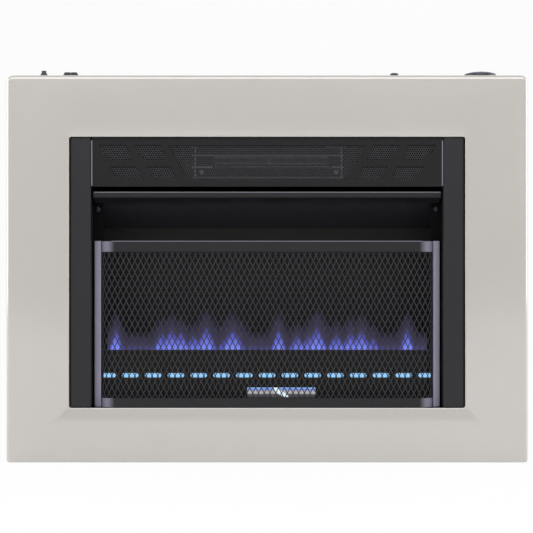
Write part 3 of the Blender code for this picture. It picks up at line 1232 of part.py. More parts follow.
def fan_switch():
    """The fan's rocker switch: a snapped-in body, a pin across it and the rocker on the pin."""
    half_x, half_y = SWITCH_WIDTH / 2, SWITCH_DEPTH / 2
    top = TOP_SEAT + SWITCH_RIM
    low = CASE_HEIGHT - SWITCH_BODY
    form = box_form((SWITCH_X - half_x, CONTROL_Y - half_y, low), (SWITCH_X + half_x, CONTROL_Y + half_y, top))
    body = piece("fan_switch_body", form, "black_plastic", (SWITCH_X, CONTROL_Y, CASE_HEIGHT))
    ledge_x, ledge_y = half_x + SWITCH_LEDGE, half_y + SWITCH_LEDGE
    join(body, box_form((SWITCH_X - ledge_x, CONTROL_Y - ledge_y, TOP_SEAT),
                        (SWITCH_X + ledge_x, CONTROL_Y + ledge_y, TOP_SEAT + SWITCH_FLANGE)))
    room_x, room_y = half_x - SWITCH_WALL, half_y - SWITCH_WALL
    cut_boxes(body, [((SWITCH_X - room_x, CONTROL_Y - room_y, CASE_HEIGHT - SWITCH_ROOM),
                      (SWITCH_X + room_x, CONTROL_Y + room_y, top + MM))])
    pin_z = CASE_HEIGHT + ROCKER_PIVOT
    cut_rods(body, [((SWITCH_X, CONTROL_Y - half_y - MM, pin_z), (SWITCH_X, CONTROL_Y + half_y + MM, pin_z),
                     ROCKER_PIN + FIT)], 16)
    pin_ends = (SWITCH_X, CONTROL_Y - half_y, pin_z), (SWITCH_X, CONTROL_Y + half_y, pin_z)
    piece("rocker_pin", rod_form(*pin_ends, ROCKER_PIN, 16), "zinc_steel", (SWITCH_X, CONTROL_Y, pin_z))

    wing, waist = ROCKER_WIDTH / 2, ROCKER_WIDTH / 2 - ROCKER_TAPER
    rise, dip = CASE_HEIGHT + ROCKER_ABOVE, CASE_HEIGHT + ROCKER_ABOVE - ROCKER_DIP
    keel = pin_z - ROCKER_KEEL
    shoulder, groove = wing - ROCKER_CHAMFER, ROCKER_GROOVE
    outline = [(-shoulder, rise), (-groove, rise), (0, dip), (groove, rise),
               (shoulder, rise), (wing, rise - 2 * ROCKER_CHAMFER), (waist, pin_z - 2 * MM),
               (waist / 2, keel), (-waist / 2, keel), (-waist, pin_z - 2 * MM),
               (-wing, rise - 2 * ROCKER_CHAMFER)]
    bm = bmesh.new()
    face = bm.faces.new([bm.verts.new((SWITCH_X + x, CONTROL_Y - room_y + FIT, z)) for x, z in outline])
    made = bmesh.ops.extrude_face_region(bm, geom=[face])["geom"]
    verts = [item for item in made if isinstance(item, bmesh.types.BMVert)]
    bmesh.ops.translate(bm, verts=verts, vec=(0, 2 * (room_y - FIT), 0))
    bmesh.ops.recalc_face_normals(bm, faces=bm.faces)
    rocker = piece("fan_switch_rocker", bm, "black_plastic", (SWITCH_X, CONTROL_Y, pin_z))
    cut_rods(rocker, [((SWITCH_X, CONTROL_Y - half_y, pin_z), (SWITCH_X, CONTROL_Y + half_y, pin_z),
                       ROCKER_PIN + FIT)], 16)


def indicator_lamp():
    """The lamp beside the fan switch, in one piece with its dark bezel."""
    top = CASE_HEIGHT + LAMP_ABOVE
    low = CASE_HEIGHT - LAMP_BODY
    profile = [(0, top), (LAMP_RADIUS - 2 * MM, top), (LAMP_RADIUS, top - 2 * MM),
               (LAMP_RADIUS, TOP_SEAT + 1.5 * MM), (LAMP_FLANGE, TOP_SEAT + 1.2 * MM),
               (LAMP_FLANGE, TOP_SEAT), (LAMP_RADIUS, TOP_SEAT), (LAMP_RADIUS, low), (0, low)]
    turned("indicator_lamp", profile, "black_plastic", (LAMP_X, CONTROL_Y, 0), "Z", 16)


def blower():
    """The cross-flow blower: housing, rotor on its shaft, bearing, motor and the strap that holds them."""
    left, right = BLOWER_X - BLOWER_WIDTH / 2, BLOWER_X + BLOWER_WIDTH / 2
    front, back = BLOWER_Y - HOUSING_REACH_Y, BLOWER_Y + HOUSING_REACH_Y
    low, high = BLOWER_Z - HOUSING_REACH_Z, BLOWER_Z + HOUSING_REACH_Z
    wall = SCROLL_SHEET
    housing = piece("blower_housing", box_form((left, front, low), (right, back, high)), "dark_steel",
                    (BLOWER_X, BLOWER_Y, BLOWER_Z))
    cut_boxes(housing, [((left + wall, front + wall, low + wall), (right - wall, back - wall, high - wall))])
    cut_boxes(housing, [((BLOWER_WINDOW_X - BLOWER_WINDOW / 2, front - MM, BLOWER_WINDOW_LOW),
                         (BLOWER_WINDOW_X + BLOWER_WINDOW / 2, front + 2 * wall, BLOWER_WINDOW_HIGH)),
                        ((left + wall + BLOWER_MARGIN, BLOWER_Y, low - MM),
                         (right - wall - BLOWER_MARGIN, back - wall - MM, low + 2 * wall))])
    ends = ((left - MM, left + 2 * wall), (right - 2 * wall, right + MM))
    cut_rods(housing, [((start, BLOWER_Y, BLOWER_Z), (stop, BLOWER_Y, BLOWER_Z), BEARING_RADIUS + FIT)
                       for start, stop in ends], 16)
    cut_rods(housing, [((x, front - MM, BLOWER_SCREW_Z), (x, front + 2 * wall, BLOWER_SCREW_Z),
                        SCREW_SHANK + FIT) for x in (BLOWER_SCREW_LEFT, BLOWER_SCREW_RIGHT)], 16)

    rotor_left, rotor_right = left + wall + ROTOR_END_GAP, right - wall - ROTOR_END_GAP
    discs = bmesh.new()
    for start in (rotor_left, BLOWER_X - ROTOR_DISC / 2, rotor_right - ROTOR_DISC):
        add_rod(discs, (start, BLOWER_Y, BLOWER_Z), (start + ROTOR_DISC, BLOWER_Y, BLOWER_Z), ROTOR_RADIUS, 24)
    rotor = piece("blower_rotor", discs, "aluminised_steel", (BLOWER_X, BLOWER_Y, BLOWER_Z))
    blades = bmesh.new()
    axis = Matrix.Translation((BLOWER_X, BLOWER_Y, BLOWER_Z))
    outward = Matrix.Translation((0, 0, ROTOR_RADIUS - BLADE_DEPTH / 2 - BLADE_SHEET))
    tilt = Matrix.Rotation(BLADE_PITCH, 4, "X")
    length = rotor_right - rotor_left - ROTOR_DISC
    size = Matrix.Diagonal((length, BLADE_SHEET, BLADE_DEPTH, 1))
    for number in range(ROTOR_BLADES):
        turn = Matrix.Rotation(2 * math.pi * number / ROTOR_BLADES, 4, "X")
        bmesh.ops.create_cube(blades, size=1, matrix=axis @ turn @ outward @ tilt @ size)
    join(rotor, blades)
    cut_rods(rotor, [((left, BLOWER_Y, BLOWER_Z), (right, BLOWER_Y, BLOWER_Z), ROTOR_SHAFT + FIT)], 24)

    flange, collar, bore = BEARING_FLANGE, BEARING_RADIUS + 3 * MM, ROTOR_SHAFT + FIT
    sleeve = flange + FIT + wall + MM
    profile = [(BEARING_RADIUS, sleeve), (BEARING_RADIUS, flange), (collar, flange), (collar, 0), (bore, 0),
               (bore, sleeve)]
    turned("rotor_bearing", profile, "brass", (left - FIT - flange, BLOWER_Y, BLOWER_Z), "X", 16)
    shaft = rod_form((left - FIT - flange - MM, BLOWER_Y, BLOWER_Z), (right + MOTOR_BORE, BLOWER_Y, BLOWER_Z),
                     ROTOR_SHAFT, 24)
    piece("rotor_shaft", shaft, "zinc_steel", (BLOWER_X, BLOWER_Y, BLOWER_Z))
    motor_end = MOTOR_BOSS + MOTOR_LENGTH
    profile = [(0, motor_end), (MOTOR_RADIUS - 3 * MM, motor_end), (MOTOR_RADIUS, motor_end - 3 * MM),
               (MOTOR_RADIUS, MOTOR_BOSS), (collar, MOTOR_BOSS), (collar, 0), (bore, 0), (bore, MOTOR_BORE),
               (0, MOTOR_BORE)]
    turned("blower_motor", profile, "zinc_steel", (right + FIT, BLOWER_Y, BLOWER_Z), "X", 20)

    half = SCROLL_SHEET / 2
    end, y = BETWEEN_WALLS - half, back + FIT + half
    profile = [(-end, y + STRAP_END), (-end, y), (end, y), (end, y + STRAP_END)]
    bent_sheet("blower_strap", profile, "Z", STRAP_Z - STRAP_HEIGHT / 2, STRAP_Z + STRAP_HEIGHT / 2,
               SCROLL_SHEET, "zinc_steel", SCROLL_SHEET)


def gas_regulator():
    """The regulator on the base, with its open inlet end just above the floor and its outlet on top."""
    low, high = REGULATOR_Z - REGULATOR_HEIGHT / 2, REGULATOR_Z + REGULATOR_HEIGHT / 2
    cap, top = high + REGULATOR_CAP_HEIGHT, high + 2 * REGULATOR_CAP_HEIGHT
    seat = CASE_SHEET + FIT
    collar, collar_radius = seat + INLET_COLLAR, INLET_RADIUS + 5 * MM
    profile = [(0, top), (OUTLET_RADIUS, top), (OUTLET_RADIUS, cap), (REGULATOR_CAP, cap),
               (REGULATOR_CAP, high), (REGULATOR_RADIUS, high), (REGULATOR_RADIUS, low), (INLET_RADIUS, low),
               (INLET_RADIUS, collar), (collar_radius, collar), (collar_radius, seat), (INLET_RADIUS, seat),
               (INLET_RADIUS, INLET_BOTTOM), (INLET_BORE, INLET_BOTTOM), (INLET_BORE, low), (0, low)]
    turned("gas_regulator", profile, "aluminised_steel", (REGULATOR_X, REGULATOR_Y, 0), "Z", 20)
    return top


def port_face(port):
    """The middle of a back port's end face, with the clearance that a pipe keeps to it."""
    shift, height = port
    return KNOB_X + shift, VALVE_BACK_Y + VALVE_PORT_LENGTH + FIT, VALVE_BASE + height


def pipework(regulator_top):
    """The pipes between the regulator, valve, burner and pilot."""
    x, y, z = port_face(VALVE_INLET)
    crossing = z - INLET_CROSSING
    route = [(REGULATOR_X, REGULATOR_Y, regulator_top + FIT), (REGULATOR_X, REGULATOR_Y, crossing - PIPE_STEP),
             (x, REGULATOR_Y, crossing), (x, REGULATOR_Y, z), (x, y, z)]
    wire("inlet_tube", rounded_route(route, PIPE_BEND), PIPE_RADIUS, "aluminised_steel")

    start = KNOB_X + VALVE_WIDTH / 2 + VALVE_PORT_LENGTH + FIT
    drop = HALF_WIDTH - CASE_SHEET - PIPE_RADIUS - CASE_CORNER / 2
    top = VALVE_BASE + VALVE_PORT + MM
    injector_end = WALL_X + LINER_SHEET / 2 + INJECTOR_COLLAR + INJECTOR_TAIL + 2 * FIT
    route = [(start, VALVE_SIDE_PORT_Y, top), (drop, VALVE_SIDE_PORT_Y, top),
             (drop, VALVE_SIDE_PORT_Y, BURNER_Z + PIPE_STEP), (drop, BURNER_Y, BURNER_Z + PIPE_STEP / 2),
             (drop, BURNER_Y, BURNER_Z), (injector_end, BURNER_Y, BURNER_Z)]
    wire("burner_supply_tube", rounded_route(route, SUPPLY_BEND), PIPE_RADIUS, "aluminised_steel")

    stem_end = PILOT_TABLE_Z - STEM_BELOW - FIT
    x, y, z = port_face(VALVE_PILOT_PORT)
    route = [(x, y, z), (x, y + PIPE_RUN, z), (x, y + PIPE_RUN, UNDERFLOOR_Z), (x, PILOT_Y, UNDERFLOOR_Z),
             (PILOT_X, PILOT_Y, UNDERFLOOR_Z), (PILOT_X, PILOT_Y, stem_end)]
    wire("pilot_tube", rounded_route(route, LEAD_BEND), PILOT_PIPE_RADIUS, "aluminised_steel")
    x, y, z = port_face(VALVE_FLAME_PORT)
    probe, aside, behind = PILOT_X + PILOT_PITCH, PILOT_Y - LEAD_PITCH, y + PIPE_RUN + LEAD_PITCH
    route = [(x, y, z), (x, behind, z), (x, behind, UNDERFLOOR_Z), (x, aside, UNDERFLOOR_Z),
             (probe, aside, UNDERFLOOR_Z), (probe, PILOT_Y, UNDERFLOOR_Z + LEAD_PITCH),
             (probe, PILOT_Y, stem_end)]
    wire("thermocouple_lead", rounded_route(route, LEAD_BEND), LEAD_RADIUS, "brass")


def wiring():
    """The spark lead from the igniter to the electrode, and the lead from the fan switch to the motor."""
    stem_end = PILOT_TABLE_Z - STEM_BELOW - FIT
    low = CASE_HEIGHT - IGNITER_LENGTH - FIT
    electrode = PILOT_X - PILOT_PITCH
    route = [(IGNITER_X, CONTROL_Y, low), (IGNITER_X, CONTROL_Y, low - LEAD_DROP),
             (IGNITER_X, LEAD_BACK_Y, low - LEAD_DROP), (IGNITER_X, LEAD_BACK_Y, UNDERFLOOR_Z),
             (electrode, LEAD_BACK_Y, UNDERFLOOR_Z), (electrode, PILOT_Y, UNDERFLOOR_Z),
             (electrode, PILOT_Y, stem_end)]
    wire("ignition_lead", rounded_route(route, LEAD_BEND), LEAD_RADIUS, "lead_insulation")
    switch_low = CASE_HEIGHT - SWITCH_BODY - FIT
    motor_end = BLOWER_X + BLOWER_WIDTH / 2 + 2 * FIT + MOTOR_BOSS + MOTOR_LENGTH
    turn_x = motor_end + LEAD_DROP + LEAD_PITCH
    run_z = low - LEAD_DROP + LEAD_PITCH
    route = [(SWITCH_X, CONTROL_Y, switch_low), (SWITCH_X, CONTROL_Y, run_z), (SWITCH_X, 0, run_z),
             (turn_x, 0, run_z), (turn_x, BLOWER_Y, run_z), (turn_x, BLOWER_Y, BLOWER_Z),
             (motor_end, BLOWER_Y, BLOWER_Z)]
    wire("fan_lead", rounded_route(route, LEAD_BEND), LEAD_RADIUS, "rubber")


def cord_grommet():
    """The bush in the back panel where the fan's mains cord enters."""
    neck, rear = GROMMET_HOLE + GROMMET_WALL, FIT + GROMMET_LIP
    front = -CASE_SHEET - FIT
    inside = front - 2 * GROMMET_LIP
    profile = [(GROMMET_RADIUS, rear), (GROMMET_RADIUS, FIT), (neck, FIT), (neck, front),
               (GROMMET_RADIUS, front), (GROMMET_RADIUS, inside), (GROMMET_HOLE, inside),
               (GROMMET_HOLE, rear)]
    turned("cord_grommet", profile, "rubber", (GROMMET_X, BACK_PANEL_Y, GROMMET_Z), "Y", 16)


def screw(name, x, plate_y, z):
    """A pan-head screw driven backwards into a plate whose front is at plate_y."""
    profile = [(0, SCREW_HEAD / 2), (SCREW_HEAD / 2, SCREW_HEAD / 2), (SCREW_HEAD, SCREW_HEAD / 4),
               (SCREW_HEAD, 0), (SCREW_SHANK, 0), (SCREW_SHANK, SCREW_SHANK - SCREW_LENGTH),
               (0, -SCREW_LENGTH)]
    turned(name, profile, "zinc_steel", (x, plate_y - FIT, z), "-Y", 12)


def screws():
    screw("left_flange_screw", -FLANGE_SCREW_X, WALL_FRONT_Y, FLANGE_SCREW_Z)
    screw("right_flange_screw", FLANGE_SCREW_X, WALL_FRONT_Y, FLANGE_SCREW_Z)


def carry(name, place, pieces):
    """Parents pieces to an empty without moving them."""
    empty = bpy.data.objects.new(name, None)
    empty.empty_display_size = 20 * MM
    empty.location = place
    bpy.data.collections["ventless_gas_heater"].objects.link(empty)
    for obj in pieces:
        obj.parent = empty
        obj.matrix_parent_inverse = Matrix.Translation(place).inverted()
    return empty


def carry_pieces():
    """Puts each moving set on its joint's axis and everything else on the heater's origin."""
    def named(*names):
        return [bpy.data.objects[name] for name in names]

    moving = [
        carry("knob_axis", (KNOB_X, CONTROL_Y, CASE_HEIGHT),
              named("valve_plunger", "valve_stem", "control_knob")),
        carry("igniter_axis", (IGNITER_X, CONTROL_Y, CASE_HEIGHT), named("igniter_button")),
        carry("rocker_axis", (SWITCH_X, CONTROL_Y, CASE_HEIGHT + ROCKER_PIVOT), named("fan_switch_rocker")),
        carry("rotor_axis", (BLOWER_X, BLOWER_Y, BLOWER_Z), named("blower_rotor", "rotor_shaft")),
    ]
    parts = bpy.data.collections["ventless_gas_heater"].objects
    fixed = [obj for obj in parts if obj.type != "EMPTY" and not obj.parent]
    carry("heater_origin", (0, 0, 0), moving + fixed)


def main():
    clear_scene()
    new_collection("ventless_gas_heater")
    new_collection("cutters")
    front_panel()
    casing()
    back_panel()
    base_panel()
    wall_bracket()
    trim_strip("left_trim_strip", -1)
    trim_strip("right_trim_strip", 1)
    firebox_walls()
    firebox_back()
    firebox_floor()
    hood()
    upper_grille()
    grille_screen()
    guard_rails()
    guard_stile("guard_left_stile", -1)
    guard_stile("guard_right_stile", 1)
    guard_mesh()
    burner_shield()
    burner()
    gas_injector()
    pilot()
    gas_valve()
    knob_set()
    igniter()
    fan_switch()
    indicator_lamp()
    blower()
    pipework(gas_regulator())
    wiring()
    cord_grommet()
    screws()
    carry_pieces()


main()
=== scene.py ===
"""The looks of a ventless gas heater, laid out as a Blender add-on and run as a script."""

import json
from math import atan2, copysign, cos, hypot, pi, radians, sin, sqrt

import bmesh
import bpy
from bpy.props import FloatProperty, FloatVectorProperty, IntProperty, PointerProperty
from mathutils import Matrix, Vector


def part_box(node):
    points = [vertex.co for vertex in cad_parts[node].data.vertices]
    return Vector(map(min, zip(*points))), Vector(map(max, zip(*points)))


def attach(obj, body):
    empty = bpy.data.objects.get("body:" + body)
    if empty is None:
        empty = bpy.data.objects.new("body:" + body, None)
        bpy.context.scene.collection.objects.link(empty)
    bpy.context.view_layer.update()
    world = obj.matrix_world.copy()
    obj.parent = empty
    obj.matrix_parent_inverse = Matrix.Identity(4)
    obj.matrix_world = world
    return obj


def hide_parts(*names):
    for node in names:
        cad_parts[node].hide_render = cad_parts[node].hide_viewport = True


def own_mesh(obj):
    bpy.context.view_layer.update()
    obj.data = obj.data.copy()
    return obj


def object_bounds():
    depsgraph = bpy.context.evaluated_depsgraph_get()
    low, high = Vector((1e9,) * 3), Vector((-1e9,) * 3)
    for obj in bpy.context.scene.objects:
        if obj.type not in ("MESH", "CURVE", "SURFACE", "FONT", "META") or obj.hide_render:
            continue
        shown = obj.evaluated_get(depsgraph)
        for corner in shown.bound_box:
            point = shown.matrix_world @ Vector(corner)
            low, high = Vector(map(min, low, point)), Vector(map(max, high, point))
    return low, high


bl_info = {
    "name": "Ventless Gas Heater",
    "version": (1, 0, 0),
    "blender": (4, 5, 0),
    "location": "View3D > Sidebar > Gas Heater",
    "description": "Builds the visible pieces, finishes and studio of a ventless gas heater",
    "category": "Object",
}

MM = 0.001
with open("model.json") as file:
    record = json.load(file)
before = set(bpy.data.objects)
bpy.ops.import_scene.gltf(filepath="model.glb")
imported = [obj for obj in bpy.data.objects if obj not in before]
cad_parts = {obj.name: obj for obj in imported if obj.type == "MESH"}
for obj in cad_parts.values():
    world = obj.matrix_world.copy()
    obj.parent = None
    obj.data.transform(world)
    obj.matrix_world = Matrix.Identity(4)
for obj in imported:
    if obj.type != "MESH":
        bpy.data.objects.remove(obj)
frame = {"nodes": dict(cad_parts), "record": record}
CAD_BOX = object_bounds()
BODY = "heater"


def span(node):
    """The lowest and highest corners of a CAD node."""
    low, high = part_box(node)
    return Vector(low), Vector(high)


def size_property(label, words, value):
    return FloatProperty(name=label, description=words, default=value, min=0.0, unit="LENGTH")


def count_property(label, words, value, lowest):
    return IntProperty(name=label, description=words, default=value, min=lowest)


def strength_property(label, words, value, **more):
    return FloatProperty(name=label, description=words, default=value, min=0, **more)


def colour_property(label, words, value):
    return FloatVectorProperty(name=label, description=words, default=value, size=3, min=0, max=1,
                               subtype="COLOR")


class HeaterSizes(bpy.types.PropertyGroup):
    """Sizes of the visible pieces."""
    sheet: size_property("Case sheet", "Thickness of the case's steel", 1.2 * MM)
    panel_roll: size_property("Panel roll", "Radius of the front panel's rolled edge", 5.5 * MM)
    top_corner: size_property("Top corner", "Radius of the case's upper corners", 9 * MM)
    low_corner: size_property("Low corner", "Radius of the case's lower corners", 4 * MM)
    opening_width: size_property("Opening width", "Width of the opening in the front panel", 516 * MM)
    opening_low: size_property("Opening low", "Height of the opening's lower edge", 71.4 * MM)
    opening_high: size_property("Opening high", "Height of the opening's upper edge", 424.3 * MM)
    opening_corner: size_property("Opening corner", "Radius of the opening's corners", 3 * MM)
    opening_roll: size_property("Opening roll", "Radius of the opening's turned-in edge", 1.5 * MM)
    opening_lip: size_property("Opening lip", "Depth of the lip round the opening", 8 * MM)
    guard_bend: size_property("Guard bend", "Radius of the guard's curved ends", 13 * MM)
    net_columns: count_property("Net columns", "Diamonds across the guard's net", 59, 4)
    net_rows: count_property("Net rows", "Diamonds up the guard's net", 14, 2)
    net_strand: size_property("Net strand", "Width of the net's strands", 1.25 * MM)
    hole_pitch: size_property("Hole pitch", "Distance between holes in the sheet behind the grille", 3.0 * MM)
    hole_width: size_property("Hole width", "Width of those holes", 2.4 * MM)
    flame_height: size_property("Flame height", "How far the flames and their haze stand up", 60 * MM)
    slot_count: count_property("Slots", "Round-ended slots in the burner's shield", 15, 1)
    slot_pitch: size_property("Slot pitch", "Distance between the shield's slots", 30.3 * MM)
    slot_level: size_property("Slot level", "Height of the row of slots", 110.9 * MM)
    slot_length: size_property("Slot length", "Length of each slot", 22.7 * MM)
    slot_height: size_property("Slot height", "Height of each slot", 6.5 * MM)


class HeaterColours(bpy.types.PropertyGroup):
    """Colours of the finishes."""
    cream: colour_property("Cream enamel", "The case's stove enamel", (0.462, 0.438, 0.405))
    black: colour_property("Black enamel", "The surround, hood and guard", (0.0138, 0.0133, 0.0162))
    # The grille's face is darker than the black enamel: painted shade on the recessed grille
    grille_shade: colour_property("Matt black", "The grille's face", (0.0080, 0.0078, 0.0088))
    # The guard's stiles are black enamel; this light grey-violet is a painted reflection of the lamps beside,
    # also used for the painted highlight on the rail ends
    painted_sheen: colour_property("Satin black", "The guard's stiles and rail ends", (0.33, 0.31, 0.41))
    dark: colour_property("Dark steel", "The burner's shield and the steel near it", (0.0042, 0.0042, 0.0046))
    flame: colour_property("Flame", "The main flames' brightest blue", (0.235, 0.29, 1.0))
    flame_middle: colour_property("Flame middle", "The flames' fading blue-violet", (0.11, 0.12, 0.53))
    flame_tip: colour_property("Flame tip", "The violet haze over the flames", (0.064, 0.057, 0.118))
    port: colour_property("Port flame", "The light-blue flames behind the shield's slots", (0.32, 0.64, 1.0))
    backdrop: colour_property("Backdrop", "The floor and the wall behind", (0.85, 0.85, 0.85))


class HeaterStudio(bpy.types.PropertyGroup):
    """The camera and the lights."""
    distance: size_property("Distance", "From the camera to the heater's front", 1.9)
    height: size_property("Height", "Of the camera above the floor", 0.2555)
    aside: FloatProperty(name="Aside", description="Of the camera from the heater's middle",
                         default=-0.8 * MM, unit="LENGTH")
    view_width: size_property("View width", "What the camera takes in at the heater's front", 0.6937)
    fill: strength_property("Fill", "Strength of the surrounding light", 0.50)
    key: strength_property("Key", "Strength of the lamp above", 42.0, unit="POWER")
    side: strength_property("Side", "Strength of each lamp beside", 30.0, unit="POWER")


# Materials


class Shader:
    """A node material with a few short ways to add and join its nodes."""

    def __init__(self, name="finish"):
        self.material = bpy.data.materials.new(name)
        self.material.use_nodes = True
        self.tree = self.material.node_tree
        self.bsdf = self.tree.nodes["Principled BSDF"]
        self.output = self.tree.nodes["Material Output"]

    def add(self, kind, settings=None, **inputs):
        item = self.tree.nodes.new("ShaderNode" + kind)
        for key, value in (settings or {}).items():
            setattr(item, key, value)
        for key, value in inputs.items():
            self.put(item.inputs[key.replace("_", " ")], value)
        return item

    def put(self, socket, value):
        if isinstance(value, bpy.types.NodeSocket):
            self.tree.links.new(value, socket)
        else:
            socket.default_value = value

    def set(self, **inputs):
        for key, value in inputs.items():
            self.put(self.bsdf.inputs[key.replace("_", " ")], value)
        return self.material

    def place(self):
        return self.add("TexCoord").outputs["Object"]

    def along(self, axis):
        return self.add("SeparateXYZ", Vector=self.place()).outputs[axis]

    def stretched(self, *scale):
        return self.add("Mapping", Scale=scale, Vector=self.place()).outputs["Vector"]

    def noise(self, scale, detail=4.0, place=None):
        made = self.add("TexNoise", Scale=scale, Detail=detail, Vector=place or self.place())
        return made.outputs["Fac"]

    def ramp(self, factor, stops):
        made = self.add("ValToRGB", Fac=factor)
        elements = made.color_ramp.elements
        while len(elements) < len(stops):
            elements.new(0.5)
        for element, (position, colour) in zip(elements, stops):
            element.position = position
            element.color = (*colour, 1) if len(colour) == 3 else colour
        return made.outputs["Color"]

    def range(self, value, low, high, from_low=0.0, from_high=1.0):
        return self.add("MapRange", Value=value, To_Min=low, To_Max=high, From_Min=from_low,
                        From_Max=from_high).outputs["Result"]

    def math(self, operation, first, second=0.0):
        made = self.add("Math", {"operation": operation})
        self.put(made.inputs[0], first)
        self.put(made.inputs[1], second)
        return made.outputs[0]

    def mix(self, factor, first, second):
        made = self.add("Mix", {"data_type": "RGBA"}, Factor=factor)
        self.put(made.inputs[6], (*first, 1))
        self.put(made.inputs[7], (*second, 1))
        return made.outputs[2]

    def drift(self, scale, colour, dark, light, end=0.7, detail=4.0):
        """A tone that drifts between a darker and a lighter shade of one colour."""
        return self.ramp(self.noise(scale, detail), [(0.3, shade(colour, dark)), (end, shade(colour, light))])

    def bump(self, height, distance):
        made = self.add("Bump", Height=height, Distance=distance, Strength=1.0)
        self.put(self.bsdf.inputs["Normal"], made.outputs["Normal"])

    def finish(self, tone, grain, gloss, **more):
        """Sets the tone, a grain of some scale, detail and depth, and a roughness between two values."""
        scale, detail, depth = grain
        self.bump(self.noise(scale, detail), depth)
        scale, low, high = gloss
        return self.set(Base_Color=tone, Roughness=self.range(self.noise(scale), low, high), **more)


def shade(colour, factor):
    return tuple(min(1.0, channel * factor) for channel in colour)


def enamel(colour, roughness, grain, shine=0.5, coat=0.0, coat_index=1.5):
    """Stove enamel: a fine orange-peel surface over a slightly uneven colour."""
    paint = Shader()
    return paint.finish(paint.drift(5.0, colour, 0.975, 1.02, detail=3.0), (650.0, 2.0, grain),
                        (60.0, roughness - 0.04, roughness + 0.05), Coat_Weight=coat, Coat_Roughness=0.10,
                        Coat_IOR=coat_index, Specular_IOR_Level=shine)


def heated_steel(colour, roughness):
    """Steel darkened by heat, with a faint blue bloom and a dusty grain."""
    steel = Shader()
    red, green, blue = colour
    tone = steel.ramp(steel.noise(14.0, 5.0), [(0.25, shade(colour, 0.75)), (0.55, colour),
                                               (0.8, (red, green, blue * 1.5))])
    return steel.finish(tone, (420.0, 3.0, 0.00006), (90.0, roughness - 0.06, roughness + 0.08),
                        Metallic=0.35)


def shaded_upward(low_colour, high_colour, low, high, metallic):
    """Sheet whose tone changes between two heights along a ragged line; on the hood, a painted light on the
    shaded slope below a darker lip.
    """
    steel = Shader()
    ragged = steel.math("ADD", steel.along("Z"), steel.range(steel.noise(30.0), -4 * MM, 4 * MM))
    tone = steel.mix(steel.range(ragged, 0.0, 1.0, low, high), low_colour, high_colour)
    return steel.finish(tone, (420.0, 3.0, 0.00006), (90.0, 0.5, 0.64), Metallic=metallic,
                        Specular_IOR_Level=0.4)


def painted_highlight_outward(colour, light, start, end):
    """Black enamel with a painted highlight, lighter towards a rail's bent ends."""
    paint = Shader()
    across = paint.math("ABSOLUTE", paint.along("X"))
    tone = paint.mix(paint.range(across, 0.0, 1.0, start, end), colour, light)
    return paint.finish(tone, (650.0, 2.0, 0.00002), (60.0, 0.36, 0.46), Specular_IOR_Level=0.35)


def painted_shade_steel(colour):
    """Near-black steel of uneven tone that throws back little light: painted shade for pieces inside the
    case.
    """
    steel = Shader()
    return steel.finish(steel.drift(26.0, colour, 0.7, 1.25, end=0.75, detail=5.0), (500.0, 3.0, 0.00004),
                        (70.0, 0.6, 0.8), Specular_IOR_Level=0.08)


def plated(colour, roughness):
    """Bright plated or bare sheet with rolling marks along one direction."""
    metal = Shader()
    marks = metal.noise(160.0, 5.0, metal.stretched(1.0, 1.0, 12.0))
    metal.bump(marks, 0.00002)
    return metal.set(Base_Color=metal.drift(20.0, colour, 0.88, 1.08, end=0.75), Metallic=1.0,
                     Roughness=metal.range(marks, roughness - 0.07, roughness + 0.09))


def spangled(colour):
    """Aluminised sheet with the dull crystals of its coating."""
    metal = Shader()
    cells = metal.add("TexVoronoi", Scale=130.0, Vector=metal.place())
    level = metal.add("SeparateColor", Color=cells.outputs["Color"]).outputs[0]
    tone = metal.ramp(level, [(0.0, shade(colour, 0.86)), (1.0, shade(colour, 1.12))])
    metal.bump(metal.noise(300.0), 0.00002)
    return metal.set(Base_Color=tone, Metallic=0.9, Roughness=metal.range(level, 0.36, 0.52))


def moulded(colour, roughness):
    """Moulded plastic or rubber with a fine texture."""
    plastic = Shader()
    return plastic.finish(plastic.drift(40.0, colour, 0.9, 1.12), (1500.0, 2.0, 0.00004),
                          (200.0, roughness - 0.05, roughness + 0.06))


def strand_enamel(low_colour, high_colour):
    """Dark enamel on thin strands, worn a little lighter in places."""
    steel = Shader()
    worn = steel.ramp(steel.noise(220.0, 3.0), [(0.35, low_colour), (0.8, high_colour)])
    return steel.finish(worn, (900.0, 4.0, 0.00003), (150.0, 0.36, 0.5), Specular_IOR_Level=0.35)


def chrome_with_painted_reflection():
    """Bright plate tinted blue, a painted reflection of light blue, over a barely wavy cap."""
    metal = Shader()
    tone = metal.ramp(metal.noise(8.0), [(0.3, (0.26, 0.32, 0.48)), (0.7, (0.38, 0.45, 0.62))])
    return metal.finish(tone, (30.0, 2.0, 0.00001), (120.0, 0.12, 0.22), Metallic=1.0)


def glazed():
    """White ceramic under a clear glaze."""
    ceramic = Shader()
    tone = ceramic.ramp(ceramic.noise(25.0), [(0.3, (0.78, 0.77, 0.72)), (0.7, (0.88, 0.87, 0.83))])
    return ceramic.set(Base_Color=tone, Roughness=ceramic.range(ceramic.noise(80.0), 0.2, 0.32),
                       Coat_Weight=0.5)


def burning(stops, share):
    """A see-through flame, coloured and thinned by the warmth stored on its points."""
    flame = Shader()
    warmth = flame.add("Attribute", {"attribute_name": "warmth"}).outputs["Fac"]
    licks = flame.range(flame.noise(70.0, 2.0, flame.stretched(1.0, 1.0, 0.2)), 0.90, 1.10)
    tone = flame.ramp(flame.math("MULTIPLY", warmth, licks),
                      [(position, (*colour, seen * share)) for position, colour, seen in stops])
    return flame.set(Base_Color=(0, 0, 0, 1), Emission_Color=tone, Emission_Strength=1.0, Roughness=1.0,
                     Specular_IOR_Level=0.0, Alpha=tone.node.outputs["Alpha"])


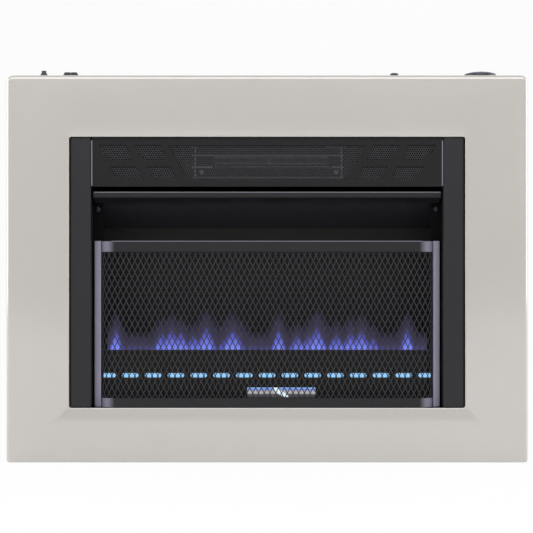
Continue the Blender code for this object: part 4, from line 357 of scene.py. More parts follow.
def glow(colour):
    """A bright small flame, lighter in its middle."""
    flame = Shader()
    facing = flame.add("LayerWeight", Blend=0.35).outputs["Facing"]
    tone = flame.mix(facing, colour, shade(colour, 0.6))
    speckle = flame.range(flame.noise(240.0, 2.0), 0.88, 1.10)
    return flame.set(Base_Color=(0, 0, 0, 1), Emission_Color=tone, Emission_Strength=speckle, Roughness=1.0,
                     Specular_IOR_Level=0.0)


FINISH = {}


def paint_finishes():
    """Makes every finish: one for each material slot of the record, and those that single pieces have."""
    colours = bpy.context.scene.heater_colours
    black, painted_sheen, haze, port = colours.black, colours.painted_sheen, colours.flame_tip, colours.port
    # Warmth, colour and share seen at each stop of a flame
    main_stops = [(0.0, haze, 0.0), (0.12, haze, 0.30), (0.34, haze, 0.80),
                  (0.62, colours.flame_middle, 0.95), (1.0, colours.flame, 1.0)]
    # Pilot window, from its foot up: dark painted shade, grey painted light, then the pilot flame's blue glow
    pilot_painted_stops = [(0.0, (0.05, 0.045, 0.06), 0.7), (0.30, (0.10, 0.095, 0.11), 0.9),
                   (0.45, (0.47, 0.46, 0.44), 1.0), (0.60, (0.36, 0.37, 0.45), 1.0),
                   (0.72, (0.16, 0.22, 0.75), 1.0), (0.88, port, 1.0)]
    FINISH.update({
        "cream_enamel": enamel(colours.cream, 0.34, 0.00002, coat=1.0, coat_index=2.2),
        "black_enamel": enamel(black, 0.42, 0.00003, 0.4),
        "dark_steel": heated_steel(colours.dark, 0.55),
        "zinc_steel": plated((0.55, 0.56, 0.58), 0.32),
        "aluminised_steel": spangled((0.45, 0.45, 0.46)),
        "brass": plated((0.72, 0.50, 0.20), 0.28),
        # Painted reflection: the cap's blue-tinted metal tone
        "chrome": chrome_with_painted_reflection(),
        "ceramic": glazed(),
        "black_plastic": moulded((0.040, 0.036, 0.048), 0.34),
        "rubber": moulded((0.018, 0.018, 0.018), 0.75),
        "lead_insulation": moulded((0.55, 0.045, 0.035), 0.45),
        # Painted shade: the grille's face, darker than the black enamel
        "grille_shade_enamel": enamel(colours.grille_shade, 0.6, 0.00003, 0.25),
        # Painted reflection: the stiles' black enamel made light grey-violet to stand for the lamps beside
        "stile_painted_sheen": enamel(painted_sheen, 0.3, 0.00002, coat=0.2),
        # Painted shade: near-black for the blower, the firebox walls and other pieces inside the case
        "soot": painted_shade_steel((0.0014, 0.0014, 0.0016)),
        "net_enamel": strand_enamel((0.026, 0.025, 0.029), (0.050, 0.048, 0.055)),
        "screen_enamel": strand_enamel((0.023, 0.022, 0.025), (0.040, 0.038, 0.044)),
        # Painted highlight: a light tone for folded edges and beads, standing for the light they catch
        "painted_highlight_edge": enamel((0.16, 0.155, 0.19), 0.45, 0.00003, 0.3),
        "back_steel": shaded_upward((0.010, 0.0097, 0.0093), (0.026, 0.025, 0.024), 272 * MM, 296 * MM, 0.35),
        # The rails: black enamel a little darker than the strips, with a painted highlight towards their bent
        # ends
        "rail_painted_highlight": painted_highlight_outward(shade(black, 0.78), shade(painted_sheen, 0.5), 199 * MM, 207 * MM),
        # Painted light: the hood's sloping underside is made lighter below 336 mm than its lip above 343 mm
        "hood_painted_light": shaded_upward(shade(black, 2.2), shade(black, 0.46), 336 * MM, 343 * MM, 0.0),
        "blued_screw": plated((0.05, 0.05, 0.058), 0.38),
        "dull_zinc": plated((0.26, 0.25, 0.30), 0.34),
        "grey_inlay": moulded((0.20, 0.19, 0.20), 0.4),
        "flame_front": burning(main_stops, 0.72),
        "flame_rear": burning(main_stops, 0.72),
        "slot_flames": glow(port),
        "pilot_painted_glow": burning(pilot_painted_stops, 1.0),
        "pilot_flame": glow((0.78, 0.94, 1.0)),
    })
    for name, material in FINISH.items():
        material.name = name.replace("_", " ")


# Meshes


def shaped(name, bm):
    """A smooth object made from a bmesh."""
    mesh = bpy.data.meshes.new(name)
    bm.to_mesh(mesh)
    bm.free()
    mesh.shade_smooth()
    obj = bpy.data.objects.new(name, mesh)
    bpy.context.scene.collection.objects.link(obj)
    return obj


def show(name, bm, slot, look=None, body=BODY, replaces=(), smooth_angle=32):
    """A visible piece in the heater's own coordinates, finished as its look, its slot or its name says."""
    obj = shaped(name, bm)
    obj.data.set_sharp_from_angle(angle=radians(smooth_angle))
    obj.data.materials.append(FINISH[look or slot or name])
    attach(obj, body)
    if replaces:
        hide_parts(*replaces)
    return obj


def add_bevel(obj, width, segments=3):
    bevel = obj.modifiers.new("edge", "BEVEL")
    bevel.width = width
    bevel.segments = segments
    bevel.limit_method = "ANGLE"
    bevel.angle_limit = radians(30)
    bevel.harden_normals = False


def add_sheet(obj, thickness, offset=0.0):
    solidify = obj.modifiers.new("sheet", "SOLIDIFY")
    solidify.thickness = thickness
    solidify.offset = offset
    solidify.use_even_offset = True


def rounded_ring(bm, half, low, high, top_radius, low_radius, y, steps):
    """Adds the points of a rectangle with rounded corners, anticlockwise as seen from the front."""
    ring = []
    corners = ((1, low, low_radius), (1, high, top_radius), (-1, high, top_radius), (-1, low, low_radius))
    for number, (side, level, radius) in enumerate(corners):
        x = side * (half - radius)
        z = level - radius if level == high else level + radius
        for step in range(steps + 1):
            angle = pi / 2 * (number - 1 + step / steps)
            ring.append(bm.verts.new((x + radius * cos(angle), y, z + radius * sin(angle))))
    return ring


def loft(bm, rings):
    for ring, following in zip(rings, rings[1:]):
        for number in range(len(ring)):
            bm.faces.new((ring[number - 1], ring[number], following[number], following[number - 1]))


def closed_loft(bm, rings):
    """Joins rings of points into a closed form whose faces look outward."""
    loft(bm, rings)
    bm.faces.new(rings[0])
    bm.faces.new(list(reversed(rings[-1])))
    bmesh.ops.recalc_face_normals(bm, faces=bm.faces)


def folded(bm, first, second):
    """Adds a bent sheet between two rows of places, and returns the rows' points."""
    first, second = ([bm.verts.new(place) for place in row] for row in (first, second))
    for number in range(len(first) - 1):
        bm.faces.new((first[number], second[number], second[number + 1], first[number + 1]))
    return first, second


def turned(bm, profile, place, axis=(0, 0, 1), steps=48):
    """Adds a closed turned form. The profile starts and ends on the axis or closes on itself."""
    turn = Vector((0, 0, 1)).rotation_difference(Vector(axis)).to_matrix().to_4x4()
    frame_of = Matrix.Translation(place) @ turn
    angles = [2 * pi * step / steps for step in range(steps)]
    rings = [[bm.verts.new(frame_of @ Vector((radius * cos(angle), radius * sin(angle), height)))
              for angle in (angles if radius else angles[:1])] for radius, height in profile]
    pairs = list(zip(rings, rings[1:]))
    if len(rings[0]) > 1 and len(rings[-1]) > 1:
        pairs.append((rings[-1], rings[0]))
    for ring, following in pairs:
        for step in range(steps):
            corners = [ring[step % len(ring)], ring[(step + 1) % len(ring)],
                       following[(step + 1) % len(following)], following[step % len(following)]]
            bm.faces.new(list(dict.fromkeys(corners)))
    bmesh.ops.recalc_face_normals(bm, faces=bm.faces)


def add_box(bm, low, high):
    low, high = Vector(low), Vector(high)
    place = Matrix.Translation((low + high) / 2) @ Matrix.Diagonal((*(high - low), 1))
    bmesh.ops.create_cube(bm, size=1, matrix=place)


def block(name, low, high, slot, look, softening, body=BODY):
    """A visible block with softened edges."""
    bm = bmesh.new()
    add_box(bm, low, high)
    add_bevel(show(name, bm, slot, look, body), softening)


# Operators, one for each piece or group of like pieces


# CAD nodes whose finish differs from the common one of their slot
OWN_FINISH = {
    "upper_grille": "grille_shade_enamel", "firebox_back": "back_steel", "guard_left_stile": "stile_painted_sheen",
    "guard_right_stile": "stile_painted_sheen", "guard_top_rail": "rail_painted_highlight", "guard_bottom_rail": "rail_painted_highlight",
    "hood": "hood_painted_light", "blower_housing": "soot", "blower_motor": "soot", "blower_strap": "soot",
    "rotor_bearing": "soot", "firebox_left_wall": "soot", "firebox_right_wall": "soot",
}
# CAD nodes with softened edges, and the softening in millimetres
SOFT_EDGED = {
    "left_trim_strip": 0.4, "right_trim_strip": 0.4, "upper_grille": 0.3, "guard_left_stile": 0.3,
    "guard_right_stile": 0.3, "guard_top_rail": 0.3, "guard_bottom_rail": 0.3, "hood": 0.45,
    "burner_shield": 0.3,
}


class HEATER_OT_carried_pieces(bpy.types.Operator):
    """Gives every CAD node that stays visible its finish, and those listed a softened edge."""
    bl_idname = "heater.carried_pieces"
    bl_label = "Carried pieces"

    def execute(self, context):
        slots = {entry["node"]: entry["material_slot"] for entry in frame["record"]["subparts"]}
        for name, obj in frame["nodes"].items():
            for slot in obj.material_slots:
                slot.material = FINISH[OWN_FINISH.get(name, slots[name])]
            if name in SOFT_EDGED:
                add_bevel(obj, SOFT_EDGED[name] * MM)
        return {"FINISHED"}


class HEATER_OT_front_shell(bpy.types.Operator):
    """Presses the front panel with its rolled edges and turned-in opening."""
    bl_idname = "heater.front_shell"
    bl_label = "Front shell"

    def execute(self, context):
        sizes = context.scene.heater_sizes
        low, high = span("front_panel")
        half = sizes.opening_width / 2
        sharpest = 1.5 * sizes.sheet
        corner_steps, roll_steps, lip_steps = 8, 8, 4
        low_edge_share = 0.35
        bm = bmesh.new()

        def outer(inset, depth):
            return rounded_ring(bm, high.x - inset, low.z + low_edge_share * inset, high.z - inset,
                                max(sizes.top_corner - inset, sharpest),
                                max(sizes.low_corner - inset, sharpest), low.y + depth, corner_steps)

        def inner(outset, depth):
            radius = sizes.opening_corner + outset
            return rounded_ring(bm, half + outset, sizes.opening_low - outset, sizes.opening_high + outset,
                                radius, radius, low.y + depth, corner_steps)

        rings = [outer(0, high.y - low.y)]
        for step in range(roll_steps + 1):
            angle = step / roll_steps * pi / 2
            rings.append(outer(sizes.panel_roll * (1 - cos(angle)),
                               sizes.panel_roll * (1 - sin(angle))))
        for step in range(lip_steps + 1):
            angle = step / lip_steps * pi / 2
            rings.append(inner(sizes.opening_roll * (1 - sin(angle)),
                               sizes.opening_roll * (1 - cos(angle))))
        rings.append(inner(0, sizes.opening_lip))
        loft(bm, rings)
        shell = show("front_shell", bm, "cream_enamel", replaces=["front_panel"], smooth_angle=50)
        add_sheet(shell, sizes.sheet, -1)
        return {"FINISHED"}


class HEATER_OT_guard_net(bpy.types.Operator):
    """Expands the guard's fine diamond net, bent back at both ends."""
    bl_idname = "heater.guard_net"
    bl_label = "Guard net"

    def execute(self, context):
        sizes = context.scene.heater_sizes
        low, high = span("guard_mesh")
        rail_low, rail_high = span("guard_top_rail")
        straight = rail_high.x - sizes.guard_bend
        centre_y = rail_low.y + sizes.guard_bend
        radius = centre_y - (low.y + 0.6 * MM)
        half = straight + radius * pi / 2 - sizes.net_strand / 2
        columns, rows = sizes.net_columns, sizes.net_rows
        step_x = half / columns
        step_z = (high.z - low.z - sizes.net_strand) / (2 * rows)
        bm = bmesh.new()
        points = {}

        def point(i, j):
            if (i, j) not in points:
                across = -half + i * step_x
                angle = max(abs(across) - straight, 0) / radius
                x = copysign(straight + radius * sin(angle), across) if angle else across
                y = centre_y - radius * cos(angle)
                points[i, j] = bm.verts.new((x, y, low.z + sizes.net_strand / 2 + j * step_z))
            return points[i, j]

        for i in range(2 * columns + 1):
            for j in range(2 * rows + 1):
                if (i + j) % 2 == 0:
                    continue
                around = [(i - 1, j), (i, j - 1), (i + 1, j), (i, j + 1)]
                inside = [pair for pair in around if 0 <= pair[0] <= 2 * columns and 0 <= pair[1] <= 2 * rows]
                if len(inside) > 2:
                    bm.faces.new([point(*pair) for pair in inside])
        net = show("guard_net", bm, "dark_steel", "net_enamel", replaces=["guard_mesh"])
        wires = net.modifiers.new("strands", "WIREFRAME")
        wires.thickness = sizes.net_strand
        wires.use_even_offset = True
        wires.use_boundary = True
        wires.use_replace = True
        return {"FINISHED"}


class HEATER_OT_grille_screen(bpy.types.Operator):
    """Perforates the sheet behind the grille with staggered round holes."""
    bl_idname = "heater.grille_screen"
    bl_label = "Grille screen"

    def execute(self, context):
        sizes = context.scene.heater_sizes
        low, high = span("grille_screen")
        pitch = sizes.hole_pitch
        row_pitch = pitch * sqrt(3) / 2
        columns = int((high.x - low.x) / pitch) - 1
        rows = int((high.z - low.z) / row_pitch) - 1
        left = -(columns - 0.5) * pitch / 2
        bottom = (low.z + high.z - (rows - 1) * row_pitch) / 2
        y = (low.y + high.y) / 2
        angles = [radians(30 + 60 * number) for number in range(6)]
        thickness = (high.y - low.y) * 0.7
        bm = bmesh.new()
        corners = {}

        def corner(x, z):
            key = (round(x * 1e6), round(z * 1e6))
            if key not in corners:
                corners[key] = bm.verts.new((x, y, z))
            return corners[key]

        outer_radius, hole_radius = pitch / sqrt(3), sizes.hole_width / 2
        for row in range(rows):
            for column in range(columns):
                x = left + (column + 0.5 * (row % 2)) * pitch
                z = bottom + row * row_pitch
                ring = [corner(x + outer_radius * cos(angle), z + outer_radius * sin(angle))
                        for angle in angles]
                hole = [bm.verts.new((x + hole_radius * cos(angle), y,
                                      z + hole_radius * sin(angle))) for angle in angles]
                for number in range(6):
                    bm.faces.new((ring[number - 1], ring[number], hole[number], hole[number - 1]))
        bmesh.ops.remove_doubles(bm, verts=list(corners.values()), dist=2e-6)
        bmesh.ops.recalc_face_normals(bm, faces=bm.faces)
        screen = show("perforated_screen", bm, "dark_steel", "screen_enamel", replaces=["grille_screen"])
        add_sheet(screen, thickness)
        return {"FINISHED"}


# Middle, half width at the foot, height and strength of each flame over the shield, lengths in millimetres
FLAMES = [
    (-202.4, 11.5, 42, 1.0), (-141, 17, 36, 0.88), (-128, 20, 41, 0.98), (-116, 18, 37, 0.92),
    (-98, 18, 31, 0.85), (-81.6, 19, 45, 1.0), (-60, 10, 26, 0.62), (-46.2, 22, 42, 0.98), (-20, 8, 18, 0.5),
    (15.4, 13, 44, 1.0), (40.8, 16, 31, 0.86), (57, 17, 34, 0.85), (67, 19, 46, 1.0), (93, 18, 33, 0.86),
    (112, 17, 38, 0.92), (126, 19, 40, 0.95), (142, 13, 30, 0.72), (187.4, 12.5, 42, 1.0),
]
FOOT_GLOW, FOOT_HEIGHT = 0.44, 23 * MM
TONGUE_TAPER, TONGUE_FADE = 0.75, 0.93
HAZE_GLOW, HAZE_WIDTH, HAZE_RISE = 0.36, 2.3, 1.25
EDGE_SOFTNESS = 1.8


def flame_warmth(x, height):
    """How warm the curtain is at a place, from 0 to 1: each flame is a soft tongue over a fainter haze."""
    core, haze = 0.0, FOOT_GLOW * max(0.0, 1 - height / FOOT_HEIGHT)
    for middle, half, tall, strength in FLAMES:
        aside = abs(x - middle * MM) / (half * MM)
        rise = height / (tall * MM)
        inside = 1 - aside - TONGUE_TAPER * rise
        if inside > 0 and rise < 1:
            core = max(core, strength * min(1.0, EDGE_SOFTNESS * inside) * (1 - TONGUE_FADE * rise))
        spread = 1 - aside / HAZE_WIDTH - rise / HAZE_RISE
        if spread > 0:
            haze = max(haze, HAZE_GLOW * strength * min(1.0, EDGE_SOFTNESS * spread))
    return min(1.0, max(core, haze))


def curtain(name, left, right, low, high, y, sway, step, warmth):
    """An upright sheet of fine faces that sways back and forth and keeps the warmth of its points."""
    bm = bmesh.new()
    columns, rows = round((right - left) / step), round((high - low) / step)
    points = []
    for row in range(rows + 1):
        z = low + (high - low) * row / rows
        line = []
        for column in range(columns + 1):
            x = left + (right - left) * column / columns
            swing = sway * (sin(x / (19 * MM)) + 0.5 * sin(x / (7.3 * MM) + 2)) * (0.4 + row / rows)
            line.append(bm.verts.new((x, y + swing, z)))
        points.append(line)
    for lower, upper in zip(points, points[1:]):
        for column in range(columns):
            bm.faces.new((lower[column], lower[column + 1], upper[column + 1], upper[column]))
    sheet = show(name, bm, None)
    layer = sheet.data.attributes.new("warmth", "FLOAT", "POINT")
    for point, value in zip(sheet.data.vertices, layer.data):
        value.value = warmth(point.co)


class HEATER_OT_flames(bpy.types.Operator):
    """Lights the main flames and the small ones behind the shield's slots."""
    bl_idname = "heater.flames"
    bl_label = "Flames"

    def execute(self, context):
        sizes = context.scene.heater_sizes
        shield_low, shield_high = span("burner_shield")
        low = shield_high.z - 3 * MM
        reach, sway, fineness = 214 * MM, 1.6 * MM, 1.5 * MM
        for name, y in (("flame_front", -54 * MM), ("flame_rear", -46 * MM)):
            curtain(name, -reach, reach, low, low + sizes.flame_height, y, sway, fineness,
                    lambda at: flame_warmth(at.x, at.z - shield_high.z))

        slots = bmesh.new()
        radius = sizes.slot_height / 2 - 0.25 * MM
        reach = sizes.slot_length / 2 - 0.3 * MM - radius
        turn = pi / 16
        end = [(radius * cos(step * turn), reach + radius * sin(step * turn)) for step in range(8)]
        end.append((0, reach + radius))
        profile = [(r, -h) for r, h in reversed(end)] + end
        for number in range(sizes.slot_count):
            x = (number - (sizes.slot_count - 1) / 2) * sizes.slot_pitch
            turned(slots, profile, (x, shield_low.y + 0.7 * MM + radius, sizes.slot_level), (1, 0, 0), 20)
        show("slot_flames", slots, None)
        return {"FINISHED"}


# Middle, level, half width and depth of the pilot's flame from its root to its tip, in millimetres
PILOT_FLAME = [(11, 95, 3.6, 1.4), (13, 91.5, 4.6, 1.8), (17, 88, 5.0, 2.0), (22, 84.5, 4.8, 2.0),
               (26, 81.8, 3.4, 1.6)]
# The pilot's window in the shield
WINDOW_LEFT, WINDOW_RIGHT, WINDOW_LOW, WINDOW_HIGH = -28 * MM, 66 * MM, 79.5 * MM, 96.5 * MM


class HEATER_OT_pilot_light(bpy.types.Operator):
    """Lights the pilot's flame, and behind the shield's window a glowing sheet of painted shade, painted
    light and the flame's blue glow.
    """
    bl_idname = "heater.pilot_light"
    bl_label = "Pilot light"

    def execute(self, context):
        glow_y, sway, fineness, flame_y, flatness = -60.3 * MM, 0.2 * MM, 1.0 * MM, -62.8 * MM, 0.6
        curtain("pilot_painted_glow", WINDOW_LEFT, WINDOW_RIGHT, WINDOW_LOW, WINDOW_HIGH, glow_y, sway, fineness,
                lambda at: (at.z - WINDOW_LOW) / (WINDOW_HIGH - WINDOW_LOW))
        flame = bmesh.new()
        turn = pi / 8
        rings = [[flame.verts.new((x * MM + half * MM * cos(turn * side),
                                   flame_y + depth * MM * flatness * sin(turn * side), z * MM))
                  for side in range(16)] for x, z, half, depth in PILOT_FLAME]
        closed_loft(flame, rings)
        show("pilot_flame", flame, None, smooth_angle=80)
        return {"FINISHED"}


class HEATER_OT_shield_beads(bpy.types.Operator):
    """Rolls the two low stiffening beads across the burner's shield on each side of the pilot's window."""
    bl_idname = "heater.shield_beads"
    bl_label = "Shield beads"

    def execute(self, context):
        low, high = span("burner_shield")
        reach, margin = high.x - 2 * MM, 2 * MM
        upper, lower = 100.6 * MM, 93.8 * MM
        rise, sunk, half_height, steps = 0.7 * MM, 0.05 * MM, 1.3 * MM, 6
        bm = bmesh.new()
        for z, left, right in ((lower, -reach, WINDOW_LEFT - margin), (lower, WINDOW_RIGHT + margin, reach),
                               (upper, -reach, reach)):
            rows = [[(x, low.y - rise * sin(pi * step / steps) + sunk,
                      z + half_height * (step / 3 - 1)) for step in range(steps + 1)] for x in (left, right)]
            start, end = folded(bm, *rows)
            bm.faces.new((start[0], start[-1], end[-1], end[0]))
            bm.faces.new(list(reversed(start)))
            bm.faces.new(end)
        bmesh.ops.recalc_face_normals(bm, faces=bm.faces)
        show("shield_beads", bm, "dark_steel")
        return {"FINISHED"}


# Left, right, low and high of each folded edge on the blower's front, in millimetres
BLOWER_EDGES = [
    (-98.0, 100.5, 399.6, 401.2), (-98.0, -71.0, 384.3, 386.3), (84.0, 100.5, 384.3, 386.3),
    (-98.0, 100.5, 370.9, 372.1), (-99.5, -90.5, 411.0, 412.4), (76.0, 104.0, 411.0, 412.4),
    (-94.8, -93.0, 372.1, 411.0), (96.4, 98.2, 372.1, 411.0),
]


class HEATER_OT_blower_edges(bpy.types.Operator):
    """Folds the raised edges on the front of the blower's housing."""
    bl_idname = "heater.blower_edges"
    bl_label = "Blower edges"

    def execute(self, context):
        front = span("blower_housing")[0].y
        bm = bmesh.new()
        for left, right, low, high in BLOWER_EDGES:
            add_box(bm, (left * MM, front - 1.8 * MM, low * MM), (right * MM, front + 0.1 * MM, high * MM))
        # The edges' light tone is a painted highlight on the housing's folds
        add_bevel(show("blower_edges", bm, "dark_steel", "painted_highlight_edge"), 0.35 * MM)
        return {"FINISHED"}


class HEATER_OT_duct_wall(bpy.types.Operator):
    """Closes the blower's duct with a near-black sheet of painted shade, so the case's inside doesn't shine
    through the grille.
    """
    bl_idname = "heater.duct_wall"
    bl_label = "Duct wall"

    def execute(self, context):
        reach = -span("firebox_left_wall")[1].x + 13.4 * MM
        y, low, high = 5.4 * MM, 355.2 * MM, 436 * MM
        bm = bmesh.new()
        outline = [(y - 9 * MM, low), (y, low), (y, high), (y + 8 * MM, high)]
        folded(bm, [(-reach, *place) for place in outline], [(reach, *place) for place in outline])
        add_sheet(show("duct_wall", bm, "dark_steel", "soot"), 0.8 * MM)
        return {"FINISHED"}


class HEATER_OT_strip_returns(bpy.types.Operator):
    """Folds the outer edges of the two dark strips back behind the panel's lip."""
    bl_idname = "heater.strip_returns"
    bl_label = "Strip returns"

    def execute(self, context):
        lip_back = span("front_panel")[0].y + context.scene.heater_sizes.opening_lip + 1.2 * MM
        for name, node, side in (("left_strip_return", "left_trim_strip", -1),
                                 ("right_strip_return", "right_trim_strip", 1)):
            low, high = span(node)
            outer = max(abs(low.x), abs(high.x))
            edge, flange = outer - 1.5 * MM, outer + 7 * MM
            outline = [(edge, low.y + 4 * MM), (edge, lip_back), (flange, lip_back), (flange, high.y)]
            foot, head = ([(side * x, y, z) for x, y in outline] for z in (low.z - 6 * MM, high.z + 2 * MM))
            bm = bmesh.new()
            folded(bm, head, foot)
            # The returns are near-black painted shade behind the panel's lip
            add_sheet(show(name, bm, "black_enamel", "soot"), 0.8 * MM)
        return {"FINISHED"}


class HEATER_OT_hood_bead(bpy.types.Operator):
    """Rolls a thin bead along the top of the hood's front lip, whose light tone is a painted highlight on the
    lip's top edge.
    """
    bl_idname = "heater.hood_bead"
    bl_label = "Hood bead"

    def execute(self, context):
        low, high = span("hood")
        radius, turn = 0.8 * MM, pi / 6
        middle_y, middle_z = low.y - 0.1 * MM + radius, high.z - radius * 1.1
        bm = bmesh.new()
        rings = [[bm.verts.new((x, middle_y + radius * cos(turn * step),
                                middle_z + radius * sin(turn * step))) for step in range(12)]
                 for x in (low.x + 0.5 * MM, high.x - 0.5 * MM)]
        closed_loft(bm, rings)
        show("hood_highlight_bead", bm, "black_enamel", "painted_highlight_edge", smooth_angle=50)
        return {"FINISHED"}


class HEATER_OT_grille_lip(bpy.types.Operator):
    """Turns the grille's upper edge up to the opening and folds its two ends forward."""
    bl_idname = "heater.grille_lip"
    bl_label = "Grille lip"

    def execute(self, context):
        low, high = span("upper_grille")
        top = context.scene.heater_sizes.opening_high - 0.8 * MM
        block("grille_lip", (low.x + 1 * MM, low.y + 0.5 * MM, high.z - 2 * MM),
              (high.x - 1 * MM, low.y + 1.7 * MM, top), "black_enamel", "grille_shade_enamel", 0.5 * MM)
        fold = 1.6 * MM
        # The folds' light tone is a painted highlight on the grille's bent ends
        for name, left in (("grille_left_highlight_fold", -high.x), ("grille_right_highlight_fold", high.x - fold)):
            block(name, (left, low.y - 0.5 * MM, low.z + 1 * MM),
                  (left + fold, low.y + 0.5 * MM, high.z - 1 * MM), "black_enamel", "painted_highlight_edge", 0.3 * MM)
        return {"FINISHED"}


class HEATER_OT_guard_bead(bpy.types.Operator):
    """Turns the fine bead along the top of the guard's upper rail, whose light tone is a painted highlight on
    the rail's top edge.
    """
    bl_idname = "heater.guard_bead"
    bl_label = "Guard bead"

    def execute(self, context):
        low, high = span("guard_top_rail")
        reach = high.x - context.scene.heater_sizes.guard_bend - 2 * MM
        block("guard_highlight_bead", (-reach, low.y - 0.35 * MM, high.z - 1.0 * MM),
              (reach, low.y + 0.6 * MM, high.z + 0.1 * MM), "black_enamel", "painted_highlight_edge", 0.3 * MM)
        return {"FINISHED"}


def screw(name, place, radius, head, look, replaces=()):
    """Drives a pan-head screw with a cross recess into an upright sheet."""
    place, along = Vector(place), Vector((0, -1, 0))
    bm = bmesh.new()
    outline = [(0, 0.45), (0.22, 0.5), (0.3, 1), (0.62, 0.96), (0.88, 0.72), (1, 0.32), (1, 0), (0.5, 0)]
    turned(bm, [(across * radius, rise * head) for across, rise in outline]
           + [(0.5 * radius, -4 * MM), (0, -5 * MM)], place, along, 24)
    across = along.orthogonal().normalized()
    upward = along.cross(across)
    for vert in bm.verts:
        offset = vert.co - place
        height, x, z = offset.dot(along), offset.dot(across), offset.dot(upward)
        on_arm = min(abs(x), abs(z)) < 0.04 * radius
        if on_arm and 0.25 * radius < hypot(x, z) < 0.7 * radius and height > 0.9 * head:
            vert.co -= along * head * 0.45
    show(name, bm, "zinc_steel", look, replaces=replaces)


class HEATER_OT_screws(bpy.types.Operator):
    """Drives the screws of the firebox walls and the blower."""
    bl_idname = "heater.screws"
    bl_label = "Screws"

    def execute(self, context):
        for name, node in (("left_wall_screw", "left_flange_screw"),
                           ("right_wall_screw", "right_flange_screw")):
            low, high = span(node)
            middle = (low + high) / 2
            screw(name, (middle.x, low.y + 2.0 * MM, middle.z), 3.6 * MM, 2.0 * MM, "blued_screw", [node])
        y, z = span("blower_housing")[0].y - 0.05 * MM, 378.9 * MM
        for name, x in (("blower_left_screw", -85.8 * MM), ("blower_right_screw", 90.2 * MM)):
            screw(name, (x, y, z), 3.2 * MM, 1.6 * MM, "dull_zinc")
        return {"FINISHED"}


# Share of the knob's radius and drop below its top, in millimetres, along each turned piece's outline
KNOB_CAP = [(0, 0), (0.42, -0.12), (0.62, -0.45), (0.74, -1.0), (0.81, -1.9), (0.835, -3.0), (0.84, -6.4),
            (0.70, -6.4), (0.70, -4.0), (0, -3.6)]
KNOB_SKIRT = [(0.855, -6.7), (0.86, -3.0), (0.885, -2.2), (0.94, -2.4), (0.972, -3.2), (0.985, -5.0),
              (0.985, -13.0), (1.0, -14.0), (1.0, -17.6), (0.97, -18.0), (0.86, -18.0), (0.86, -7.6),
              (0.40, -7.0), (0.40, -18.0), (0.21, -18.0), (0.21, -6.7)]


class HEATER_OT_knob(bpy.types.Operator):
    """Turns the control knob: a bright domed cap in a dark gripped skirt, with a pointer let into the cap."""
    bl_idname = "heater.knob"
    bl_label = "Control knob"

    def execute(self, context):
        low, high = span("control_knob")
        middle = (low + high) / 2
        radius, top = (high.x - low.x) / 2, high.z
        place = (middle.x, middle.y, top)
        cap = bmesh.new()
        turned(cap, [(share * radius, drop * MM) for share, drop in KNOB_CAP], place, steps=96)
        show("knob_cap", cap, "chrome", body="control_knob")
        skirt = bmesh.new()
        turned(skirt, [(share * radius, drop * MM) for share, drop in KNOB_SKIRT], place, steps=144)
        grooves, groove_depth = 36, 0.03
        for vert in skirt.verts:
            offset = Vector((vert.co.x - middle.x, vert.co.y - middle.y))
            if 7.5 * MM < top - vert.co.z < 13.5 * MM and offset.length > 0.9 * radius:
                groove = 0.5 + 0.5 * cos(grooves * atan2(offset.y, offset.x))
                shrink = 1 - groove_depth * groove
                vert.co.x = middle.x + offset.x * shrink
                vert.co.y = middle.y + offset.y * shrink
        show("knob_skirt", skirt, "black_plastic", body="control_knob", replaces=["control_knob"])
        pointer = bmesh.new()
        half, inner_end, outer_end = 0.8 * MM, 0.30 * radius, 0.74 * radius
        inner_rise, outer_rise = 0.18 * MM, -0.72 * MM
        add_box(pointer, (middle.x - half, middle.y - outer_end, top - 2.0 * MM),
                (middle.x + half, middle.y - inner_end, top))
        for vert in pointer.verts:
            if vert.co.z > top - 1 * MM:
                vert.co.z = top + (inner_rise if middle.y - vert.co.y < 0.5 * radius else outer_rise)
        add_bevel(show("knob_pointer", pointer, "black_plastic", body="control_knob"), 0.15 * MM, 2)
        return {"FINISHED"}


def coil(bm, centre, low, high, radius, wire, turns):
    """Adds a compression spring whose first and last turns are wound close."""
    per_turn, upward = 20, Vector((0, 0, 1))
    round_wire = [2 * pi * side / 8 for side in range(8)]
    closed = 2.05 * wire
    bottom, top = low + wire, high - wire
    pitch = (top - bottom - 2 * closed) / (turns - 2)
    rings = []
    for step in range(turns * per_turn + 1):
        turn = step / per_turn
        if turn < 1:
            z = bottom + closed * turn
        elif turn > turns - 1:
            z = top - closed * (turns - turn)
        else:
            z = bottom + closed + pitch * (turn - 1)
        angle = 2 * pi * turn
        outward = Vector((cos(angle), sin(angle), 0))
        middle = Vector((centre[0], centre[1], z)) + outward * radius
        rings.append([bm.verts.new(middle + wire * (outward * cos(angle) + upward * sin(angle)))
                      for angle in round_wire])
    closed_loft(bm, rings)


class HEATER_OT_springs(bpy.types.Operator):
    """Winds the springs under the knob's plunger and the push button."""
    bl_idname = "heater.springs"
    bl_label = "Springs"

    def execute(self, context):
        wire, clearance, turns = 0.65 * MM, 0.05 * MM, 7
        for name, node, joint, travel in (("valve_coil", "valve_spring", "knob_press", 5 * MM),
                                          ("igniter_coil", "igniter_spring", "igniter_press", 6 * MM)):
            low, high = span(node)
            middle = (low + high) / 2
            bm = bmesh.new()
            coil(bm, middle, low.z, high.z, (high.x - low.x) / 2 - wire - clearance, wire, turns)
            spring = show(name, bm, "zinc_steel", replaces=[node], smooth_angle=60)
            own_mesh(spring)
        return {"FINISHED"}


